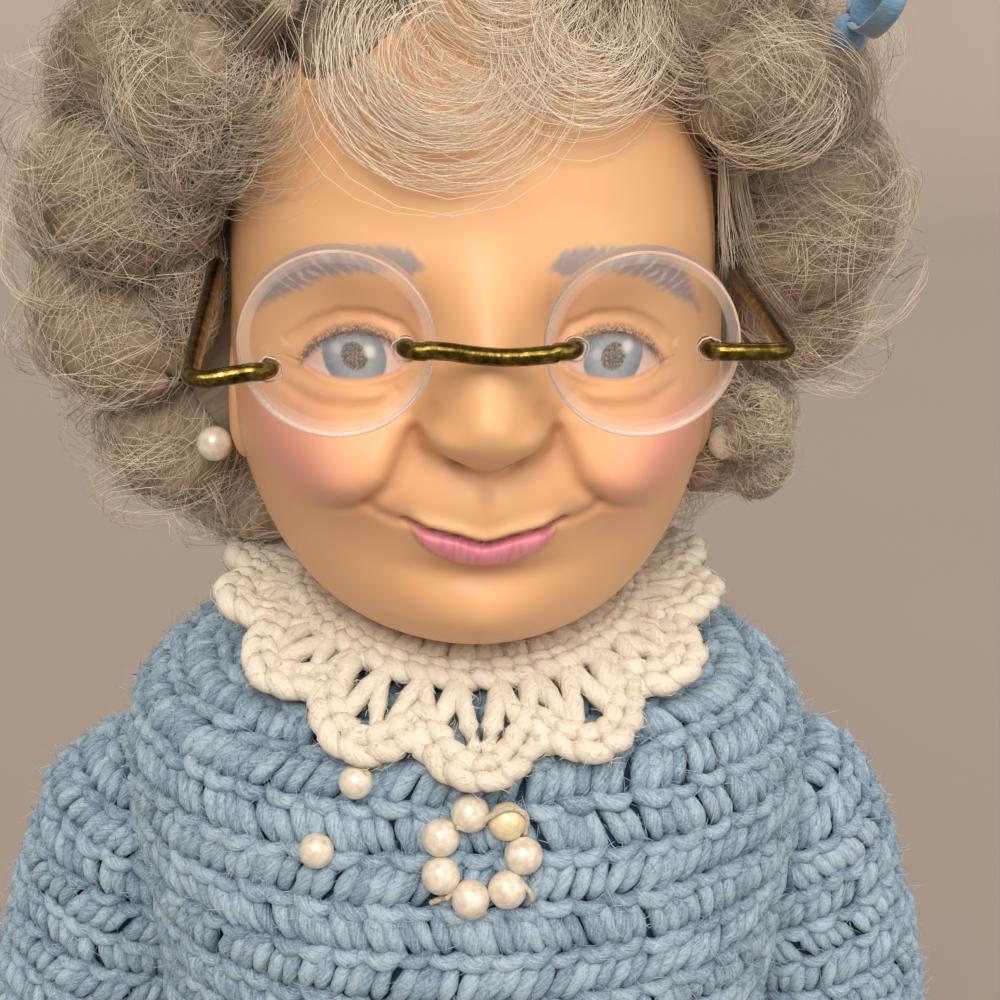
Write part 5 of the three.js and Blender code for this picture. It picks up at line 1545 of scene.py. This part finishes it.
def under_rolls():
    """The masses under the large curls and under the side curls of the forehead."""
    rolls = []
    for rise, first, count in UNDER_ROWS:
        for k in range(count):
            for side in (1, -1):
                turn = math.radians(first + (180 - first) * (k + 0.5) / count)
                way = way_out(side, turn, math.radians(rise))
                at = HAIR_MIDDLE + CURL_REACH * way * 0.88
                rolls.append(Roll(at, np.array([0.2, 1, 0.1]), -way, 14.0, 30.0, 0.45))
    for x, h, _, outer, *_ in SWIRLS[FIRST_SIDE_SWIRL:]:
        at = over_face(x, h + 2, -1.0)
        out = out_of_head(at)
        rolls.append(Roll(at, np.cross(out, [0, 0, 1.0]), -out, 0.62 * outer, 1.5 * outer, 0.5))
    return rolls


def small_curls(rolls, count, rng):
    """Smaller curls and tufts that lie on the large ones."""
    curls = []
    for roll in rolls:
        for way in unit(rng.normal(size=(count, 3)) - 0.9 * roll.e1):
            radius = 4.5 + 6.5 * rng.random()
            at = roll.at + way * roll.radius * (0.78 + 0.2 * rng.random())
            axis = unit(np.cross(way, rng.normal(size=3))) + 0.5 * rng.normal() * way
            curls.append(Roll(at, axis, -way, radius, 1.9 * radius, roll.tone + 0.06 + 0.1 * rng.normal()))
    return curls


def swirl_strands(swirl, rng):
    x, h, inner, outer, first, last, count, tone = swirl
    t = np.linspace(0, 1, 15)
    share = 1 - rng.random((count, 1)) ** 1.35
    band = rng.integers(0, SWIRL_BANDS, count)

    def varied(of_band, of_strand):
        """A shift of each band of strands, and one of each strand."""
        return of_band * rng.normal(size=(SWIRL_BANDS, 1))[band] + of_strand * rng.normal(size=(count, 1))

    share = np.clip(0.75 * share + 0.25 * (rng.random(SWIRL_BANDS)[band])[:, None], 0, 1)
    reach = lerp(inner, outer, share) * (1 + 0.09 * rng.normal(size=(count, 1)))
    reach = reach * (1 + 0.16 * np.sin(np.pi * t) * rng.normal(size=(count, 1)))
    begin = first + varied(18, 22)
    end = last + varied(16, 26)
    turn = np.radians(lerp(begin, end, t))
    bulge = 1.2 + 4.2 * np.sin(np.pi * np.clip(share, 0.1, 0.93)) + 0.9 * rng.normal(size=(count, 1))
    lift = np.maximum(bulge + 3.0 * np.clip(np.sin(turn), 0, 1), 0.6)
    x = x + varied(1.5, 0.6)
    h = h + varied(1.2, 0.5)
    reach = reach + 0.9 * np.sin(2 * np.pi * (1.1 * t + rng.random((count, 1)))) * rng.random((count, 1))
    paths = over_face(x + reach * np.cos(turn), h + 0.92 * reach * np.sin(turn), lift)
    wave = 0.5 * np.sin(6 * t + 6 * rng.random((count, 1)))
    paths = paths + wave[..., None] * rng.normal(size=(count, 1, 3))
    return paths, np.clip(tone + 0.14 * rng.normal(size=count), 0, 1)


def wisp_strands(guide, count, width, tone, rng):
    x, h, lift = np.array(guide, float).T
    line = curve_through(over_face(x, h, lift), 14)
    normal, binormal = frames_along(line[None])
    t = np.linspace(0, 1, 14)
    turn = 2 * np.pi * rng.random((count, 1))
    ring = np.sqrt(rng.random((count, 1))) * width * (0.6 + 0.7 * t)
    paths = line + (ring * np.cos(turn))[..., None] * binormal
    paths = paths + (0.45 * ring * np.sin(turn))[..., None] * normal
    wave = 0.9 * t**2 * np.sin(5 * t + 6 * rng.random((count, 1)))
    paths = paths + wave[..., None] * rng.normal(size=(count, 1, 3))
    return paths, np.clip(tone + 0.15 * rng.normal(size=count), 0, 1)


def stray_strands(roll, rng):
    """Loose hairs that drift off a curl."""
    paths, tone = roll.strands(rng, STRAYS)
    away = unit(roll.at - HAIR_MIDDLE)
    far = 5.0 * rng.random((STRAYS, 1)) * np.linspace(0, 1, paths.shape[1])
    drift = far[..., None] * unit(away + 0.8 * rng.normal(size=(STRAYS, 1, 3)))
    return paths + 0.8 * away + drift, np.clip(tone + 0.12, 0, 1)


def hair_piece(name, parts, radius, material):
    paths = np.concatenate([p for p, _ in parts])
    tones = np.concatenate([s for _, s in parts])
    steps = paths.shape[1]
    points, faces = tubes(paths, radius * (1 - 0.6 * np.linspace(0, 1, steps) ** 3), 3)
    shade = np.repeat((tones[:, None] + 0.08 * np.linspace(-1, 1, steps)).reshape(-1), 3)
    mesh_piece(name, points, faces, material, "head", "hair", tone=shade)


def hair_pieces(name, curls, size, radius, material, strands):
    """The strands of curls, in pieces of so many curls each."""
    for k in range(0, len(curls), size):
        hair_piece(f"{name}_{k // size + 1}", [strands(curl) for curl in curls[k:k + size]], radius, material)


def make_hair():
    rng = np.random.default_rng(41)
    material = hair_material()
    rolls = side_rolls(rng)
    under = under_rolls()
    made = [roll.core(k) for k, roll in enumerate(rolls + under)] + [hair_cap()]
    points, faces = joined([(p, f) for p, f, _, _ in made])
    comb = np.concatenate([c for _, _, c, _ in made])
    tone = np.concatenate([s for *_, s in made])
    combed = roll_material()
    mesh_piece("hair_rolls", points, faces, combed, "head", "hair", HAIR_NODES, strand=comb, tone=tone)
    beside_face = [Roll(*map(np.array, place), radius, long, 0.6) for *place, radius, long in FACE_CURLS]
    curls = small_curls(rolls, 4, rng) + beside_face
    furry = rolls + beside_face + [roll for roll in under if roll.at[1] < 16 and roll.at[2] < 345]
    hair_pieces("hair_curls", rolls, 26, 0.046, material, lambda roll: roll.strands(rng, 105, 10))
    hair_pieces("hair_tufts", curls, 60, 0.045, material, lambda curl: curl.strands(rng, 38, 9, 7, 0.4))
    hair_pieces("hair_fur", furry, 13, 0.055, material, lambda roll: roll.fur(rng, 660))
    hair_piece("hair_forehead_curls", [swirl_strands(s, rng) for s in SWIRLS], 0.058, material)
    hair_piece("hair_temple_wisps", [wisp_strands(*w, rng) for w in WISPS], 0.06, material)
    hair_piece("hair_strays", [stray_strands(roll, rng) for roll in rolls], 0.05, material)


# Ribbon: the bow stands up from its knot, and each of its pieces leans to the front
BOW_RISE = math.radians(66)
BOW = way_out(1, math.radians(66), BOW_RISE)
BOW_FRONT = unit(np.array([0, -1.0, 0]) + BOW * BOW[1])
BOW_LEANS = {"loop_upper": -0.5, "loop_lower": 0.9, "tail_upper": 0.05, "tail_lower": 0.4}
RIBBON_WIDTH = 3.2
RIBBON_HALF_THICK = 0.22
RIBBON_LOOP = 13.0
KNOT_RADIUS = 2.8
# Lines of a loop and a tail from the knot, along the piece and to its side, in lengths of a loop
LOOP_LINE = [
    (0, 0), (0.28, 0.20), (0.7, 0.27), (0.98, 0.04),
    (0.9, -0.2), (0.5, -0.26), (0.2, -0.16), (0, -0.02),
]
TAIL_LINE = [(0, 0), (0.3, 0.1), (0.6, 0.12), (0.9, 0.02)]
# Half of a ribbon's section, in half widths and half thicknesses
RIBBON_SECTION = [(-1, 0), (-0.96, 1), (-0.5, 1.1), (0, 1.25), (0.5, 1.1), (0.96, 1)]


def band(name, line, across, material, node):
    """A strip of ribbon along a line, with rounded thin edges."""
    tangent = unit(np.gradient(line, axis=0))
    wide = unit(across - np.sum(across * tangent, -1, keepdims=True) * tangent)
    up = np.cross(tangent, wide)
    section = [(a * RIBBON_WIDTH / 2, b * RIBBON_HALF_THICK) for a, b in RIBBON_SECTION]
    section += [(-a, -b) for a, b in section]
    points = np.stack([line + a * wide + b * up for a, b in section], 1)
    faces = capped_faces(len(line), len(section), flip=True)
    mesh_piece(name, points, faces, material, "head", "satin", [node])


def make_ribbon():
    satin = satin_material()
    knot = middle("ribbon_knot")
    across = np.cross(BOW, BOW_FRONT)
    for name, lean in BOW_LEANS.items():
        way = BOW * math.cos(lean) + BOW_FRONT * math.sin(lean)
        side = np.cross(way, across)
        shape = LOOP_LINE if name.startswith("loop") else TAIL_LINE
        foot = knot + KNOT_RADIUS * 0.9 * way
        line = curve_through([foot + RIBBON_LOOP * (a * way + b * side) for a, b in shape], 44)
        band(f"ribbon_{name}_satin", line, across, satin, f"ribbon_{name}")
    theta, phi = ball_grid(0.01, math.pi - 0.01, 26, 40)
    pleat = 2.9 * (1 + 0.07 * np.cos(7 * phi)) * np.sin(theta) ** 0.6
    points = np.stack([pleat * np.cos(phi) * 0.9, pleat * np.sin(phi), 2.6 * np.cos(theta)], -1) + knot
    faces = [grid_faces(*theta.shape, wrap=True)]
    mesh_piece("ribbon_knot_satin", points, faces, satin, "head", "satin", ["ribbon_knot"])


HAND_VOXEL = 0.7
FINGERS_Z = 112
FINGERS_FADE = 14


def make_hands():
    """The solids of the hands, softened and painted."""
    for name, _ in SIDES:
        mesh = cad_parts[f"{name}_hand"].data.copy()
        mesh.materials.clear()
        hand = linked(f"{name}_hand_vinyl", mesh)
        remesh = hand.modifiers.new("even", "REMESH")
        remesh.mode = "VOXEL"
        remesh.voxel_size = HAND_VOXEL * MM
        relax = hand.modifiers.new("relax", "SMOOTH")
        relax.factor = 0.5
        relax.iterations = 6
        settle(hand)
        hand.data.shade_smooth()
        z = np.array([v.co.z for v in hand.data.vertices]) / MM
        blush = 0.5 * smooth(FINGERS_Z - z, 0, FINGERS_FADE)
        keep_values(hand.data, paint=blend_paint(SKIN, FINGER_BLUSH, blush))
        hand.data.materials.clear()
        hand.data.materials.append(VINYL)
        attach(hand, f"{name}_arm", "vinyl", [f"{name}_hand"])


# Camera, light and stage
STAGE_HALF_WIDTH = 4000.0
STAGE_FRONT = -3000.0
STAGE_BEND_Y = 1500.0
STAGE_BEND = 900.0
STAGE_TOP = 3000.0
# Lamps: name, the way that the light goes, strength, softness in degrees, and colour
LAMPS = [
    ("key", (0.14, 0.62, -0.76), 1.7, 40, (1.0, 0.95, 0.87)),
    ("spark", (0.10, 0.80, -0.58), 0.85, 22, (1.0, 0.96, 0.9)),
    ("fill", (-0.66, 0.6, -0.45), 0.85, 60, (1.0, 0.96, 0.92)),
    ("rim", (-0.15, -0.75, -0.6), 0.8, 40, (1.0, 0.97, 0.93)),
]


def make_camera():
    data = bpy.data.cameras.new("camera")
    data.lens = CAMERA_LENS
    data.sensor_width = 36.0
    data.clip_start = 0.01
    camera = linked("camera", data)
    turn = Matrix((CAMERA_RIGHT, CAMERA_UP, CAMERA_BACK)).transposed().to_4x4()
    camera.matrix_world = Matrix.Translation(Vector(CAMERA_AT) * MM) @ turn
    bpy.context.scene.camera = camera


def make_lamp(name, towards, strength, softness, tint):
    data = bpy.data.lights.new(name, "SUN")
    data.energy = strength
    data.angle = math.radians(softness)
    data.color = tint
    lamp = linked(name, data)
    lamp.rotation_euler = Vector(towards).to_track_quat("-Z", "Y").to_euler()
    lamp.location = Vector(towards) * -1.5


def make_stage():
    """A floor that bends up into a backdrop."""
    s = Shader("backdrop", Roughness=0.9, Specular_IOR_Level=0.1)
    shade = s.ramp(s.noise(0.004, 2), (0.3, colour(157, 145, 136)), (0.7, colour(159, 147, 138)))
    s.set("Base Color", shade)
    profile = [(STAGE_FRONT, 0.0), (STAGE_BEND_Y, 0.0)]
    for turn in np.linspace(0, math.pi / 2, 25)[1:]:
        profile.append((STAGE_BEND_Y + STAGE_BEND * math.sin(turn), STAGE_BEND * (1 - math.cos(turn))))
    profile.append((STAGE_BEND_Y + STAGE_BEND, STAGE_TOP))
    rows = [[(x, y, z) for x in (-STAGE_HALF_WIDTH, STAGE_HALF_WIDTH)] for y, z in profile]
    floor = mesh_piece("floor", np.array(rows), [grid_faces(len(rows), 2)], s.material, "torso")
    floor.parent = None


def make_light():
    scene = bpy.context.scene
    scene.view_settings.view_transform = "Standard"
    scene.world = bpy.data.worlds.new("studio")
    scene.world.use_nodes = True
    sky = scene.world.node_tree.nodes["Background"]
    sky.inputs["Color"].default_value = colour(228, 219, 209)
    sky.inputs["Strength"].default_value = 0.62
    for lamp in LAMPS:
        make_lamp(*lamp)


make_camera()
make_light()
make_stage()
make_head()
make_ears()
make_spectacles()
make_body()
make_collar()
make_pearls()
make_hair()
make_ribbon()
make_hands()
